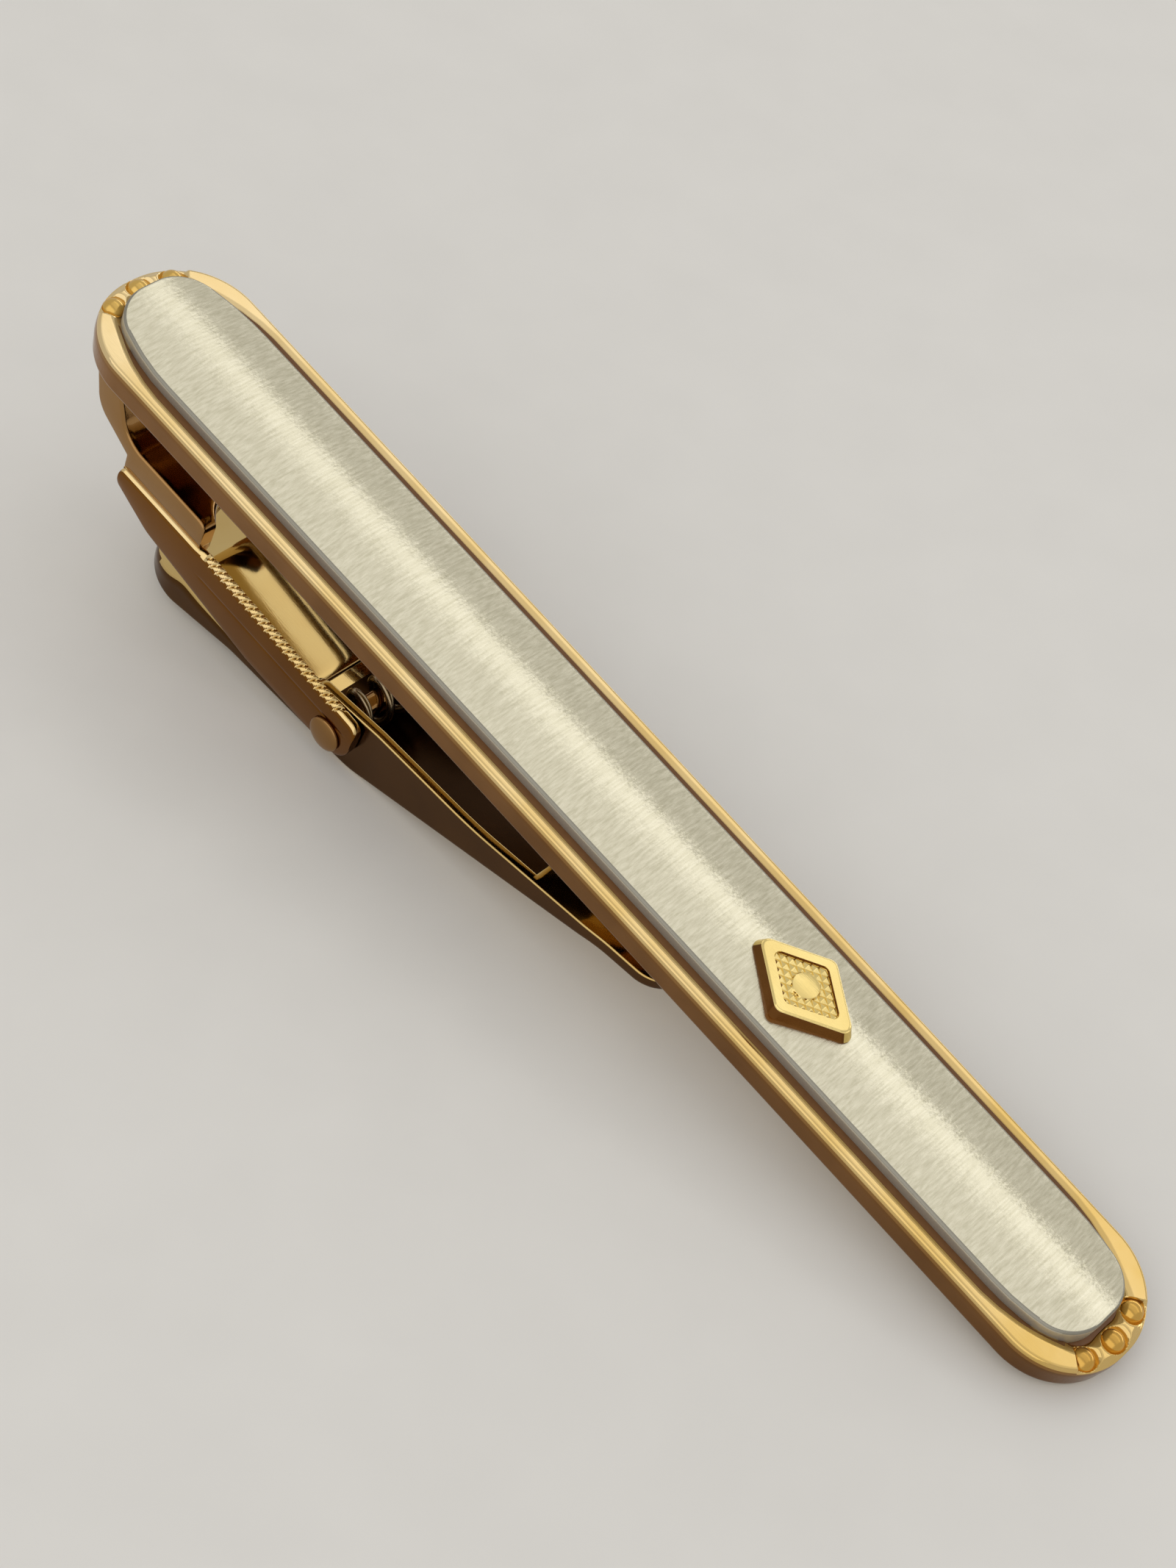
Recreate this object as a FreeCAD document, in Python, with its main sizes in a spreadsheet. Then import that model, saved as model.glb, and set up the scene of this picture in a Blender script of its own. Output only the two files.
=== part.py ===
# Tie clip: a gilt bar with a domed steel inlay, and a sprung jaw on a folded leg behind it.
# Lengths are millimetres. Every piece is drawn in the bar's own frame: x runs along the bar from
# its folded end to its tip, y runs across it, and z stands up from the top of the rim, where z is 0.
# The last step lays the whole clip down as it rests on a table, on its lever and its tip.

import FreeCAD, Part
import math
import os
import Sketcher
from FreeCAD import Placement, Rotation, Vector

doc = FreeCAD.newDocument("TieClip")
sheet = doc.addObject("Spreadsheet::Sheet", "Sizes")

# Driving sizes: name, value, meaning
SIZES = [
    # Bar and frame
    ("bar_length", 58.0, "overall length of the bar"),
    ("fold_end_width", 7.42, "width of the frame at the folded end"),
    ("tip_end_width", 7.0, "width of the frame at the tip"),
    ("fold_end_corner", 3.5, "rounding of the frame's folded end, seen from above"),
    ("tip_end_corner", 3.3, "rounding of the frame's tip, seen from above"),
    ("frame_height", 0.7, "height of the frame's side wall"),
    ("rim_bevel", 0.1, "bevel on the rim's outer top edge"),
    ("rim_width", 0.35, "flat width of the rim along the sides"),
    # Tray that takes the inlay
    ("tray_depth", 0.42, "depth of the tray"),
    ("tray_fold_inset", 0.5, "end of the bar to the end of the tray, folded end"),
    ("tray_tip_inset", 0.65, "the same at the tip"),
    ("tray_fold_shoulder", 4.0, "end of the bar to where the tray starts to narrow, folded end"),
    ("tray_tip_shoulder", 3.7, "the same at the tip"),
    ("tray_fold_end_width", 3.6, "width of the tray's folded end"),
    ("tray_tip_end_width", 3.1, "width of the tray's end at the tip"),
    ("tray_shoulder_radius", 8.0, "rounding of the shoulders"),
    ("tray_corner", 1.4, "rounding of the tray's ends"),
    # Beads at both ends of the rim
    ("bead_diameter", 1.0, "one bead"),
    ("bead_spacing", 1.55, "distance between beads across the bar"),
    ("bead_fold_inset", 0.53, "end of the bar to the middle bead, folded end"),
    ("bead_tip_inset", 0.66, "the same at the tip"),
    ("bead_sag", 0.28, "side beads further in than the middle bead"),
    ("bead_sink", 0.4, "rim top to the beads' centres"),
    ("bead_gap_width", 4.4, "gap in the rim that holds the beads"),
    ("bead_seat_depth", 0.3, "depth of that gap"),
    # Steel inlay and its bond
    ("groove_width", 0.62, "groove between rim and inlay along the sides"),
    ("inlay_fold_inset", 1.0, "end of the bar to the end of the inlay, folded end"),
    ("inlay_tip_inset", 1.4, "the same at the tip"),
    ("inlay_shoulder", 4.1, "end of the bar to where the inlay starts to narrow"),
    ("inlay_end_width", 3.9, "width of the inlay's ends"),
    ("inlay_shoulder_radius", 10.0, "rounding of the shoulders"),
    ("inlay_corner", 1.9, "rounding of the inlay's ends"),
    ("inlay_edge_rise", 0.3, "height of the inlay's long edge above the rim"),
    ("inlay_crown", 0.35, "height of the dome above that edge"),
    ("bond_thickness", 0.05, "film of adhesive under the inlay"),
    ("bond_margin", 0.3, "inlay's edge to the film's edge"),
    # Emblem
    ("emblem_along", 40.2, "folded end of the bar to the emblem's centre"),
    ("emblem_aside", 0.25, "middle of the bar to the emblem's centre"),
    ("emblem_length", 6.6, "emblem along the bar"),
    ("emblem_width", 4.5, "emblem across the bar"),
    ("emblem_corner", 0.45, "rounding of its outline"),
    ("emblem_height", 0.55, "emblem's top above the crown of the dome"),
    ("emblem_draft", 18.0, "slope of its side wall, in degrees"),
    ("emblem_border", 0.4, "width of its raised border"),
    ("emblem_field_depth", 0.16, "depth of the field inside the border"),
    ("emblem_boss_length", 2.0, "raised lozenge in the middle of the field, along the bar"),
    ("emblem_boss_width", 1.4, "the same across the bar"),
    ("peg_diameter", 0.8, "pegs under the emblem"),
    ("peg_spacing", 2.4, "distance between the pegs"),
    ("peg_fit", 0.02, "radial clearance of the pegs in the inlay"),
    # Back plate and its folded tail
    ("back_plate_thickness", 0.8, "back of the bar"),
    ("back_plate_inset", 0.06, "step between frame and back plate"),
    ("tail_width", 6.4, "width of the folded tail and the leg"),
    ("tail_start", 1.85, "folded end of the bar to the tail's outer face"),
    ("tail_wall", 1.35, "thickness of the tail where it leaves the bar"),
    ("tie_gap", 2.3, "clear height between the bar and the return leg"),
    ("leg_thickness", 1.4, "thickness of the return leg"),
    ("leg_step", 0.67, "step under the leg, where the bracket starts"),
    ("leg_end", 9.7, "folded end of the bar to the end of the leg"),
    ("fold_outer_along", 2.63, "folded end of the bar to the outside of the fold"),
    ("fold_outer_drop", 1.94, "back of the bar down to the outside of the fold"),
    ("fold_outer_radius", 1.5, "rounding there"),
    ("fold_inner_along", 4.59, "folded end of the bar to the inside of the fold"),
    ("fold_inner_radius", 1.5, "rounding there"),
    ("arch_radius", 2.9, "hollow cut into the end of the leg"),
    ("arch_offset", 1.5, "end of the leg to the centre of that hollow"),
    # Hinge bracket
    ("sheet_thickness", 0.45, "sheet of the bracket"),
    ("bracket_width", 6.8, "width over the ears"),
    ("bracket_start", 4.8, "folded end of the bar to the bracket"),
    ("ear_front_height", 1.0, "height of the ears at their front end"),
    ("ear_knee_along", 7.0, "folded end of the bar to the knee of the ears' lower edge"),
    ("ear_knee_height", 1.95, "height of the ears at that knee"),
    ("ear_knee_radius", 2.0, "rounding of that knee"),
    ("ear_level_back", 4.9, "pivot back to where the lower edge turns level"),
    ("ear_below_pivot", 0.85, "pivot to the ears' lower edge"),
    ("ear_beyond_pivot", 1.3, "pivot to the ears' far end"),
    ("arm_rise", 0.1, "step up of the serrated edge above the leg's underside"),
    ("arm_step_length", 0.4, "length of that step along the bar"),
    ("arm_drop", 0.4, "fall of the serrated edge to its far end"),
    ("ear_corner", 1.2, "rounding of the ears' lower far corner"),
    ("ear_nose_corner", 0.5, "rounding of the ears' upper far corner"),
    ("ear_soft_corner", 0.3, "rounding of the other corners of the ears"),
    ("tooth_pitch", 0.4, "distance between teeth"),
    ("tooth_depth", 0.18, "depth of the teeth"),
    ("tooth_count", 22, "number of notches on each ear"),
    ("crease_depth", 0.1, "depth of the pressed crease on the ears"),
    ("crease_height", 0.14, "height of the crease"),
    ("crease_above_pivot", 0.75, "pivot to the crease"),
    # Pivot
    ("pivot_along", 18.7, "folded end of the bar to the pivot"),
    ("pivot_depth", 7.2, "top of the rim to the pivot"),
    ("pin_diameter", 1.0, "shank of the rivet"),
    ("pin_head_diameter", 1.6, "formed heads of the rivet"),
    ("pin_head_height", 0.25, "height of the heads"),
    ("pin_head_rounding", 0.2, "rounding of the heads"),
    ("pin_fit", 0.02, "radial clearance of the pin in the ears"),
    ("lever_fit", 0.05, "radial running clearance of the lever on the pin"),
    ("side_play", 0.1, "gap between lever and each ear"),
    # Jaw lever
    ("jaw_reach", 18.1, "pivot to the end of the jaw"),
    ("jaw_tip_width", 6.9, "width of the jaw at its end"),
    ("jaw_tip_corner", 1.5, "rounding of its end, seen from above"),
    ("flare_start", 2.0, "pivot to where the jaw starts to widen"),
    ("flare_end_back", 4.2, "end of the jaw back to where it has its full width"),
    ("tip_gap", 0.1, "closed jaw to the back of the bar"),
    ("tip_thickness", 0.65, "thickness of the jaw's end"),
    ("tip_rounding", 0.25, "rounding of its edge"),
    ("pad_top_back", 3.2, "end of the jaw back to the bend above its end pad"),
    ("pad_top_drop", 0.62, "fall from the pad's end to that bend"),
    ("pad_under_back", 3.4, "end of the jaw back to the bend under the pad"),
    ("pad_under_drop", 0.7, "fall from the pad's end to that bend"),
    ("pad_bend_radius", 6.0, "radius of both bends"),
    ("bow_along", 7.5, "pivot to the bow of the wall's upper edge"),
    ("bow_rise", 2.85, "that bow above the pivot"),
    ("bow_radius", 20.0, "radius of the bow"),
    ("lobe_back", 1.8, "pivot back to the end of the walls"),
    ("lobe_rise", 1.33, "top of the walls there, above the pivot"),
    ("lobe_rounding", 0.9, "rounding of that end"),
    ("lever_wall", 0.45, "thickness of the lever's walls"),
    ("lever_floor", 0.45, "thickness of the lever's floor"),
    ("hollow_end_back", 7.2, "end of the jaw back to the end of its hollow"),
    ("heel_along", 1.4, "pivot to the heel under the jaw"),
    ("heel_below", 1.53, "that heel below the pivot"),
    ("heel_radius", 4.0, "radius of the heel"),
    ("root_back", 2.4, "pivot back to the root of the finger tab"),
    ("root_below", 1.45, "its upper face there, below the pivot"),
    ("root_rounding", 0.3, "rounding between walls and tab"),
    ("crest_back", 9.5, "pivot back to the bend across the finger tab"),
    ("crest_below", 0.85, "its upper face there, below the pivot"),
    ("crest_radius", 1.2, "radius of that bend"),
    ("tab_sheet", 0.55, "thickness of the tab's sheet, straight down"),
    ("tab_reach", 12.6, "pivot back to the end of the finger tab"),
    ("tab_top_below", 2.25, "upper face of the tab's end, below the pivot"),
    ("tab_end_below", 2.89, "lower face of the tab's end, below the pivot"),
    ("tab_edge_rounding", 0.25, "rounding of that end"),
    ("tab_corner", 2.6, "rounding of the tab, seen from above"),
    ("lip_back", 9.8, "pivot back to the lowest point of the tab's turned-down edge"),
    ("lip_below", 3.05, "that point below the pivot"),
    ("knee_back", 6.1, "pivot back to the knee of that edge"),
    ("knee_below", 2.2, "that knee below the pivot"),
    # Torsion spring
    ("wire_diameter", 0.36, "spring wire"),
    ("coil_radius", 0.85, "middle of the wire to the pivot"),
    ("coil_pitch", 1.2, "advance of one turn"),
    ("coil_turns", 3, "full turns between the legs' half turn"),
    ("lower_leg_reach", 6.2, "pivot back to the end of the leg on the lever"),
    ("upper_leg_reach", 11.5, "pivot back to the end of the leg under the bracket"),
    ("spring_seat_gap", 0.05, "upper leg to the bracket"),
    # Cutting
    ("overrun", 1.0, "how far a cutting shape runs past what it cuts"),
]


class Size:
    """A number that keeps the spreadsheet formula it comes from."""

    def __init__(self, value, formula):
        self.value = value
        self.formula = formula

    def __add__(self, other):
        other = as_size(other)
        return Size(self.value + other.value, f"({self.formula} + {other.formula})")

    def __sub__(self, other):
        other = as_size(other)
        return Size(self.value - other.value, f"({self.formula} - {other.formula})")

    def __mul__(self, other):
        other = as_size(other)
        return Size(self.value * other.value, f"({self.formula} * {other.formula})")

    def __truediv__(self, other):
        other = as_size(other)
        return Size(self.value / other.value, f"({self.formula} / {other.formula})")

    def __neg__(self):
        return Size(-self.value, f"(0 - {self.formula})")


def as_size(number):
    return number if isinstance(number, Size) else Size(float(number), repr(float(number)))


def smaller_of(first, second):
    return Size(min(first.value, second.value), f"min({first.formula}; {second.formula})")


class Sizes:
    """The spreadsheet's cells, each under its own name."""


ZERO = as_size(0)
size = Sizes()
for row, (name, value, meaning) in enumerate(SIZES, start=1):
    sheet.set(f"A{row}", meaning)
    sheet.set(f"B{row}", str(value))
    sheet.setAlias(f"B{row}", name)
    setattr(size, name, Size(float(value), f"Sizes.{name}"))
doc.recompute()

# Levels and widths that several pieces share
bar_back = -(size.frame_height + size.back_plate_thickness)
leg_top = bar_back - size.tie_gap
leg_under = leg_top - size.leg_thickness
web_under = leg_under - size.sheet_thickness
inlay_base = size.bond_thickness - size.tray_depth
inlay_top = size.inlay_edge_rise + size.inlay_crown
inlay_margin = size.rim_width + size.groove_width
dome_chord = size.fold_end_width / 2 - inlay_margin
dome_radius = (dome_chord * dome_chord + size.inlay_crown * size.inlay_crown) / (size.inlay_crown * 2)
dome_centre = inlay_top - dome_radius
pivot_level = -size.pivot_depth
ear_inside = size.bracket_width / 2 - size.sheet_thickness
lever_half_width = ear_inside - size.side_play
tip_top = bar_back - size.tip_gap
tip_under = tip_top - size.tip_thickness
# Roundings of the bar's ends stay a little under half its width
CORNER_LIMIT_SHARE = 0.97
# The beads are cut off flat at this latitude, in degrees, inside the frame's metal
BEAD_FOOT_ANGLE = -30.0
# Search for the resting tilt, in degrees, and how often its interval is halved
STEEPEST_TILT = 30.0
HALVINGS = 24


def tie(sketch, constraint, amount):
    """Adds a dimension to a sketch and binds it to its formula."""
    index = sketch.addConstraint(constraint)
    sketch.setExpression(f"Constraints[{index}]", amount.formula)


def tie_point(sketch, geometry, end, x, y):
    """Holds a point at x and y, or on the axis where one of them is zero."""
    for kind, axis, amount in (("DistanceX", -2, x), ("DistanceY", -1, y)):
        if amount is ZERO:
            sketch.addConstraint(Sketcher.Constraint("PointOnObject", geometry, end, axis))
        else:
            tie(sketch, Sketcher.Constraint(kind, -1, 1, geometry, end, amount.value), amount)


def draw_outline(sketch, corners):
    """Draws a closed outline through corners of (x, y, rounding), where None leaves a corner sharp."""
    count = len(corners)
    points = [Vector(x.value, y.value, 0) for x, y, rounding in corners]
    starts, ends, centres = [], [], []
    for i, (x, y, rounding) in enumerate(corners):
        back = (points[i - 1] - points[i]).normalize()
        ahead = (points[(i + 1) % count] - points[i]).normalize()
        half_angle = back.getAngle(ahead) / 2
        radius = rounding.value if rounding else 0
        starts.append(points[i] + back * (radius / math.tan(half_angle)))
        ends.append(points[i] + ahead * (radius / math.tan(half_angle)))
        middle = (back + ahead).normalize() if radius else Vector()
        centres.append(points[i] + middle * (radius / math.sin(half_angle)))
    lines = []
    for i in range(count):
        lines.append(sketch.addGeometry(Part.LineSegment(ends[i], starts[(i + 1) % count])))
    for i, (x, y, rounding) in enumerate(corners):
        into, out = lines[i - 1], lines[i]
        if rounding is None:
            sketch.addConstraint(Sketcher.Constraint("Coincident", into, 2, out, 1))
            tie_point(sketch, out, 1, x, y)
            continue
        left_turn = (points[i] - starts[i]).cross(ends[i] - points[i]).z > 0
        first, last = (starts[i], ends[i]) if left_turn else (ends[i], starts[i])
        from_angle = math.atan2(first.y - centres[i].y, first.x - centres[i].x)
        to_angle = math.atan2(last.y - centres[i].y, last.x - centres[i].x)
        circle = Part.Circle(centres[i], Vector(0, 0, 1), rounding.value)
        arc = sketch.addGeometry(Part.ArcOfCircle(circle, from_angle, to_angle))
        corner = sketch.addGeometry(Part.Point(points[i]), True)
        tie_point(sketch, corner, 1, x, y)
        sketch.addConstraint(Sketcher.Constraint("PointOnObject", corner, 1, into))
        sketch.addConstraint(Sketcher.Constraint("PointOnObject", corner, 1, out))
        sketch.addConstraint(Sketcher.Constraint("Tangent", into, 2, arc, 1 if left_turn else 2))
        sketch.addConstraint(Sketcher.Constraint("Tangent", arc, 2 if left_turn else 1, out, 1))
        tie(sketch, Sketcher.Constraint("Radius", arc, rounding.value), rounding)


def rectangle(left, right, low, high):
    return [(left, low, None), (right, low, None), (right, high, None), (left, high, None)]


def draw_circle(sketch, x, y, radius):
    circle = sketch.addGeometry(Part.Circle(Vector(x.value, y.value, 0), Vector(0, 0, 1), radius.value))
    tie_point(sketch, circle, 3, x, y)
    tie(sketch, Sketcher.Constraint("Radius", circle, radius.value), radius)


def new_body(label):
    body = doc.addObject("PartDesign::Body", label)
    body.Label = label
    return body


def origin_plane(body, role):
    return next(item for item in body.Origin.OriginFeatures if item.Role == role)


def new_sketch(body, name, role, offset=ZERO):
    """Starts a sketch on one of the body's own planes, moved along the plane's normal by offset."""
    sketch = body.newObject("Sketcher::SketchObject", name)
    sketch.AttachmentSupport = (origin_plane(body, role), [""])
    sketch.MapMode = "FlatFace"
    if offset is not ZERO:
        sketch.setExpression("AttachmentOffset.Base.z", offset.formula)
    return sketch


def add_pad(body, name, sketch, length, symmetric=False, downward=False):
    pad = body.newObject("PartDesign::Pad", name)
    pad.Profile = sketch
    pad.setExpression("Length", length.formula)
    pad.SideType = "Symmetric" if symmetric else "One side"
    pad.Reversed = downward
    doc.recompute()
    return pad


def add_pocket(body, name, sketch, length=None, symmetric=False):
    """Cuts against the sketch's normal, or both ways; with no length it cuts through everything."""
    before = body.Shape.Volume
    pocket = body.newObject("PartDesign::Pocket", name)
    pocket.Profile = sketch
    pocket.SideType = "Symmetric" if symmetric else "One side"
    if length is None:
        pocket.Type = "ThroughAll"
    else:
        pocket.setExpression("Length", length.formula)
    doc.recompute()
    if not body.Shape.Volume < before:
        raise RuntimeError(f"{name} cuts nothing")
    return pocket


def mirrored(lower):
    """Adds the other half to the lower half of an outline that is symmetric about the bar's middle."""
    return lower + [(x, -y, rounding) for x, y, rounding in reversed(lower)]


def bar_outline(margin):
    """Corners of the bar's tapered outline, drawn in by a margin all round."""
    fold_half = size.fold_end_width / 2 - margin
    tip_half = size.tip_end_width / 2 - margin
    fold_round = smaller_of(size.fold_end_corner - margin, fold_half * CORNER_LIMIT_SHARE)
    tip_round = smaller_of(size.tip_end_corner - margin, tip_half * CORNER_LIMIT_SHARE)
    return mirrored([(margin, -fold_half, fold_round), (size.bar_length - margin, -tip_half, tip_round)])


def half_width_at(x):
    taper = (size.tip_end_width - size.fold_end_width) / size.bar_length
    return (size.fold_end_width + taper * x) / 2


def shouldered_outline(margin, insets, shoulders, end_widths, shoulder_radius, corner):
    """Corners of an outline beside the bar's sides that narrows from a shoulder to each of its ends."""
    fold_x = shoulders[0]
    tip_x = size.bar_length - shoulders[1]
    return mirrored([
        (insets[0], -end_widths[0] / 2, corner),
        (fold_x, margin - half_width_at(fold_x), shoulder_radius),
        (tip_x, margin - half_width_at(tip_x), shoulder_radius),
        (size.bar_length - insets[1], -end_widths[1] / 2, corner),
    ])


def make_front_frame():
    """Shallow tray with a flat rim, and three beads let into the rim at each end."""
    body = new_body("front_frame")
    outline = new_sketch(body, "frame_outline", "XY_Plane")
    draw_outline(outline, bar_outline(ZERO))
    block = add_pad(body, "frame_block", outline, size.frame_height, downward=True)
    top_edges = [
        f"Edge{number}"
        for number, edge in enumerate(block.Shape.Edges, start=1)
        if edge.BoundBox.ZMin > -size.rim_bevel.value
    ]
    bevel = body.newObject("PartDesign::Chamfer", "rim_bevel")
    bevel.Base = (block, top_edges)
    bevel.setExpression("Size", size.rim_bevel.formula)
    doc.recompute()
    tray = new_sketch(body, "tray_outline", "XY_Plane")
    draw_outline(tray, shouldered_outline(
        size.rim_width,
        (size.tray_fold_inset, size.tray_tip_inset),
        (size.tray_fold_shoulder, size.tray_tip_shoulder),
        (size.tray_fold_end_width, size.tray_tip_end_width),
        size.tray_shoulder_radius,
        size.tray_corner,
    ))
    add_pocket(body, "tray", tray, size.tray_depth)
    gap_half = size.bead_gap_width / 2
    far_end = size.bar_length
    gaps = (
        ("fold", -size.overrun, size.inlay_fold_inset),
        ("tip", far_end - size.inlay_tip_inset, far_end + size.overrun),
    )
    for end, from_x, to_x in gaps:
        gap = new_sketch(body, f"bead_gap_{end}", "XY_Plane")
        draw_outline(gap, rectangle(from_x, to_x, -gap_half, gap_half))
        add_pocket(body, f"bead_seat_{end}", gap, size.bead_seat_depth)
    add_beads(body)
    return body


def add_beads(body):
    """Sets three beads at each end, the outer two a little further in."""
    ends = (("fold", size.bead_fold_inset, 1), ("tip", size.bar_length - size.bead_tip_inset, -1))
    for end, middle_x, inward in ends:
        for side in (-1, 0, 1):
            bead = body.newObject("PartDesign::AdditiveSphere", f"bead_{end}_{side + 2}")
            bead.setExpression("Radius", (size.bead_diameter / 2).formula)
            bead.Angle1 = BEAD_FOOT_ANGLE
            bead.setExpression("Placement.Base.x", (middle_x + size.bead_sag * inward * abs(side)).formula)
            bead.setExpression("Placement.Base.y", (size.bead_spacing * side).formula)
            bead.setExpression("Placement.Base.z", (-size.bead_sink).formula)
            doc.recompute()


def draw_dome(sketch):
    """Circle of the inlay's domed cross-section."""
    draw_circle(sketch, ZERO, dome_centre, dome_radius)


def draw_peg_circles(sketch, radius):
    for side in (-1, 1):
        draw_circle(sketch, size.emblem_along + size.peg_spacing / 2 * side, -size.emblem_aside, radius)


def inlay_outline(extra_margin):
    end_width = size.inlay_end_width - extra_margin * 2
    return shouldered_outline(
        inlay_margin + extra_margin,
        (size.inlay_fold_inset + extra_margin, size.inlay_tip_inset + extra_margin),
        (size.inlay_shoulder, size.inlay_shoulder),
        (end_width, end_width),
        size.inlay_shoulder_radius,
        size.inlay_corner - extra_margin,
    )


def make_steel_inlay():
    """Panel with a domed top and two holes for the emblem's pegs."""
    body = new_body("steel_inlay")
    outline = new_sketch(body, "inlay_outline", "XY_Plane", inlay_base)
    draw_outline(outline, inlay_outline(ZERO))
    add_pad(body, "inlay_block", outline, inlay_top - inlay_base)
    dome = new_sketch(body, "inlay_dome", "YZ_Plane")
    draw_dome(dome)
    reach = dome_radius + size.overrun
    draw_outline(dome, rectangle(-reach, reach, dome_centre - reach, dome_centre + reach))
    add_pocket(body, "dome", dome, symmetric=True)
    holes = new_sketch(body, "peg_holes", "XY_Plane", inlay_top + size.overrun)
    draw_peg_circles(holes, size.peg_diameter / 2 + size.peg_fit)
    add_pocket(body, "peg_holes_cut", holes)
    return body


def make_inlay_bond():
    """Film of adhesive between tray and inlay."""
    body = new_body("inlay_bond")
    outline = new_sketch(body, "bond_outline", "XY_Plane", -size.tray_depth)
    draw_outline(outline, inlay_outline(size.bond_margin))
    draw_peg_circles(outline, size.peg_diameter / 2 + size.peg_fit)
    add_pad(body, "bond_film", outline, size.bond_thickness)
    return body


def lozenge(length, width, rounding):
    x = size.emblem_along
    y = -size.emblem_aside
    return [
        (x - length / 2, y, rounding),
        (x, y - width / 2, rounding),
        (x + length / 2, y, rounding),
        (x, y + width / 2, rounding),
    ]


def make_emblem():
    """Lozenge with a raised border and a boss, seated on the dome, with two pegs through the inlay."""
    body = new_body("emblem")
    top = inlay_top + size.emblem_height
    outline = new_sketch(body, "emblem_outline", "XY_Plane")
    draw_outline(outline, lozenge(size.emblem_length, size.emblem_width, size.emblem_corner))
    block = add_pad(body, "emblem_block", outline, top)
    block.setExpression("TaperAngle", (-size.emblem_draft).formula)
    doc.recompute()
    seat = new_sketch(body, "emblem_seat", "YZ_Plane")
    draw_dome(seat)
    add_pocket(body, "seat", seat, symmetric=True)
    field = new_sketch(body, "emblem_field", "XY_Plane", top)
    border = (size.emblem_border + top * math.tan(math.radians(size.emblem_draft.value))) * 2
    slimness = size.emblem_length / size.emblem_width
    draw_outline(field, lozenge(size.emblem_length - border * slimness, size.emblem_width - border, None))
    add_pocket(body, "field", field, size.emblem_field_depth)
    boss = new_sketch(body, "emblem_boss", "XY_Plane", top - size.emblem_field_depth)
    draw_outline(boss, lozenge(size.emblem_boss_length, size.emblem_boss_width, None))
    add_pad(body, "boss", boss, size.emblem_field_depth)
    pegs = new_sketch(body, "emblem_pegs", "XY_Plane", inlay_base)
    draw_peg_circles(pegs, size.peg_diameter / 2)
    add_pad(body, "pegs", pegs, inlay_top - inlay_base)
    return body


def cut_arch(body, name, top):
    """Hollows the end of the leg, or of the bracket's web, with one round cut."""
    arch = new_sketch(body, f"{name}_outline", "XY_Plane", top)
    draw_circle(arch, size.leg_end + size.arch_offset, ZERO, size.arch_radius)
    add_pocket(body, name, arch, top - web_under + size.overrun)


def make_back_plate():
    """Back of the bar, with the tail that folds round into the return leg."""
    body = new_body("back_plate")
    outline = new_sketch(body, "back_outline", "XY_Plane", -size.frame_height)
    draw_outline(outline, bar_outline(size.back_plate_inset))
    add_pad(body, "back_sheet", outline, size.back_plate_thickness, downward=True)
    tail = new_sketch(body, "tail_profile", "XZ_Plane")
    draw_outline(tail, [
        (size.tail_start, -size.frame_height, None),
        (size.fold_outer_along, bar_back - size.fold_outer_drop, size.fold_outer_radius),
        (size.bracket_start, leg_under + size.leg_step, None),
        (size.bracket_start, leg_under, None),
        (size.leg_end, leg_under, None),
        (size.leg_end, leg_top, None),
        (size.fold_inner_along, leg_top, size.fold_inner_radius),
        (size.tail_start + size.tail_wall, -size.frame_height, None),
    ])
    add_pad(body, "tail", tail, size.tail_width, symmetric=True)
    cut_arch(body, "leg_arch", leg_top)
    return body


def make_hinge_bracket():
    """Pressed channel under the leg: a short web and two ears with serrated upper edges."""
    body = new_body("hinge_bracket")
    ears = new_sketch(body, "ear_profile", "XZ_Plane")
    far_x = size.pivot_along + size.ear_beyond_pivot
    low = pivot_level - size.ear_below_pivot
    arm_x = size.leg_end + size.arm_step_length
    arm_top = leg_under + size.arm_rise
    soft = size.ear_soft_corner
    draw_outline(ears, [
        (size.bracket_start, leg_under, None),
        (size.bracket_start, leg_under - size.ear_front_height, soft),
        (size.ear_knee_along, leg_under - size.ear_knee_height, size.ear_knee_radius),
        (size.pivot_along - size.ear_level_back, low, soft),
        (far_x, low, size.ear_corner),
        (far_x, arm_top - size.arm_drop, size.ear_nose_corner),
        (arm_x, arm_top, None),
        (size.leg_end, leg_under, None),
    ])
    add_pad(body, "ear_block", ears, size.bracket_width, symmetric=True)
    inside = new_sketch(body, "channel_profile", "XZ_Plane")
    from_x = size.bracket_start - size.overrun
    to_x = far_x + size.overrun
    floor = low - size.overrun
    ceiling = arm_top + size.overrun
    draw_outline(inside, [
        (from_x, floor, None),
        (to_x, floor, None),
        (to_x, ceiling, None),
        (size.leg_end, ceiling, None),
        (size.leg_end, web_under, None),
        (from_x, web_under, None),
    ])
    add_pocket(body, "channel", inside, ear_inside * 2, symmetric=True)
    cut_arch(body, "web_arch", leg_under)
    bore = new_sketch(body, "ear_bore", "XZ_Plane")
    draw_circle(bore, size.pivot_along, pivot_level, size.pin_diameter / 2 + size.pin_fit)
    add_pocket(body, "bore", bore, symmetric=True)
    add_crease(body, far_x)
    add_teeth(body, arm_x, arm_top, far_x)
    return body


def add_crease(body, far_x):
    """Presses a fine line into the outside of both ears."""
    crease = new_sketch(body, "crease_outline", "XZ_Plane", size.bracket_width / 2)
    low = pivot_level + size.crease_above_pivot
    high = low + size.crease_height
    from_x = size.leg_end + size.arm_step_length
    to_x = far_x - size.ear_nose_corner
    draw_outline(crease, rectangle(from_x, to_x, low, high))
    near = add_pocket(body, "crease", crease, size.crease_depth)
    both = body.newObject("PartDesign::Mirrored", "crease_pair")
    both.Originals = [near]
    both.MirrorPlane = (origin_plane(body, "XZ_Plane"), [""])
    body.Tip = both
    doc.recompute()


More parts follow.
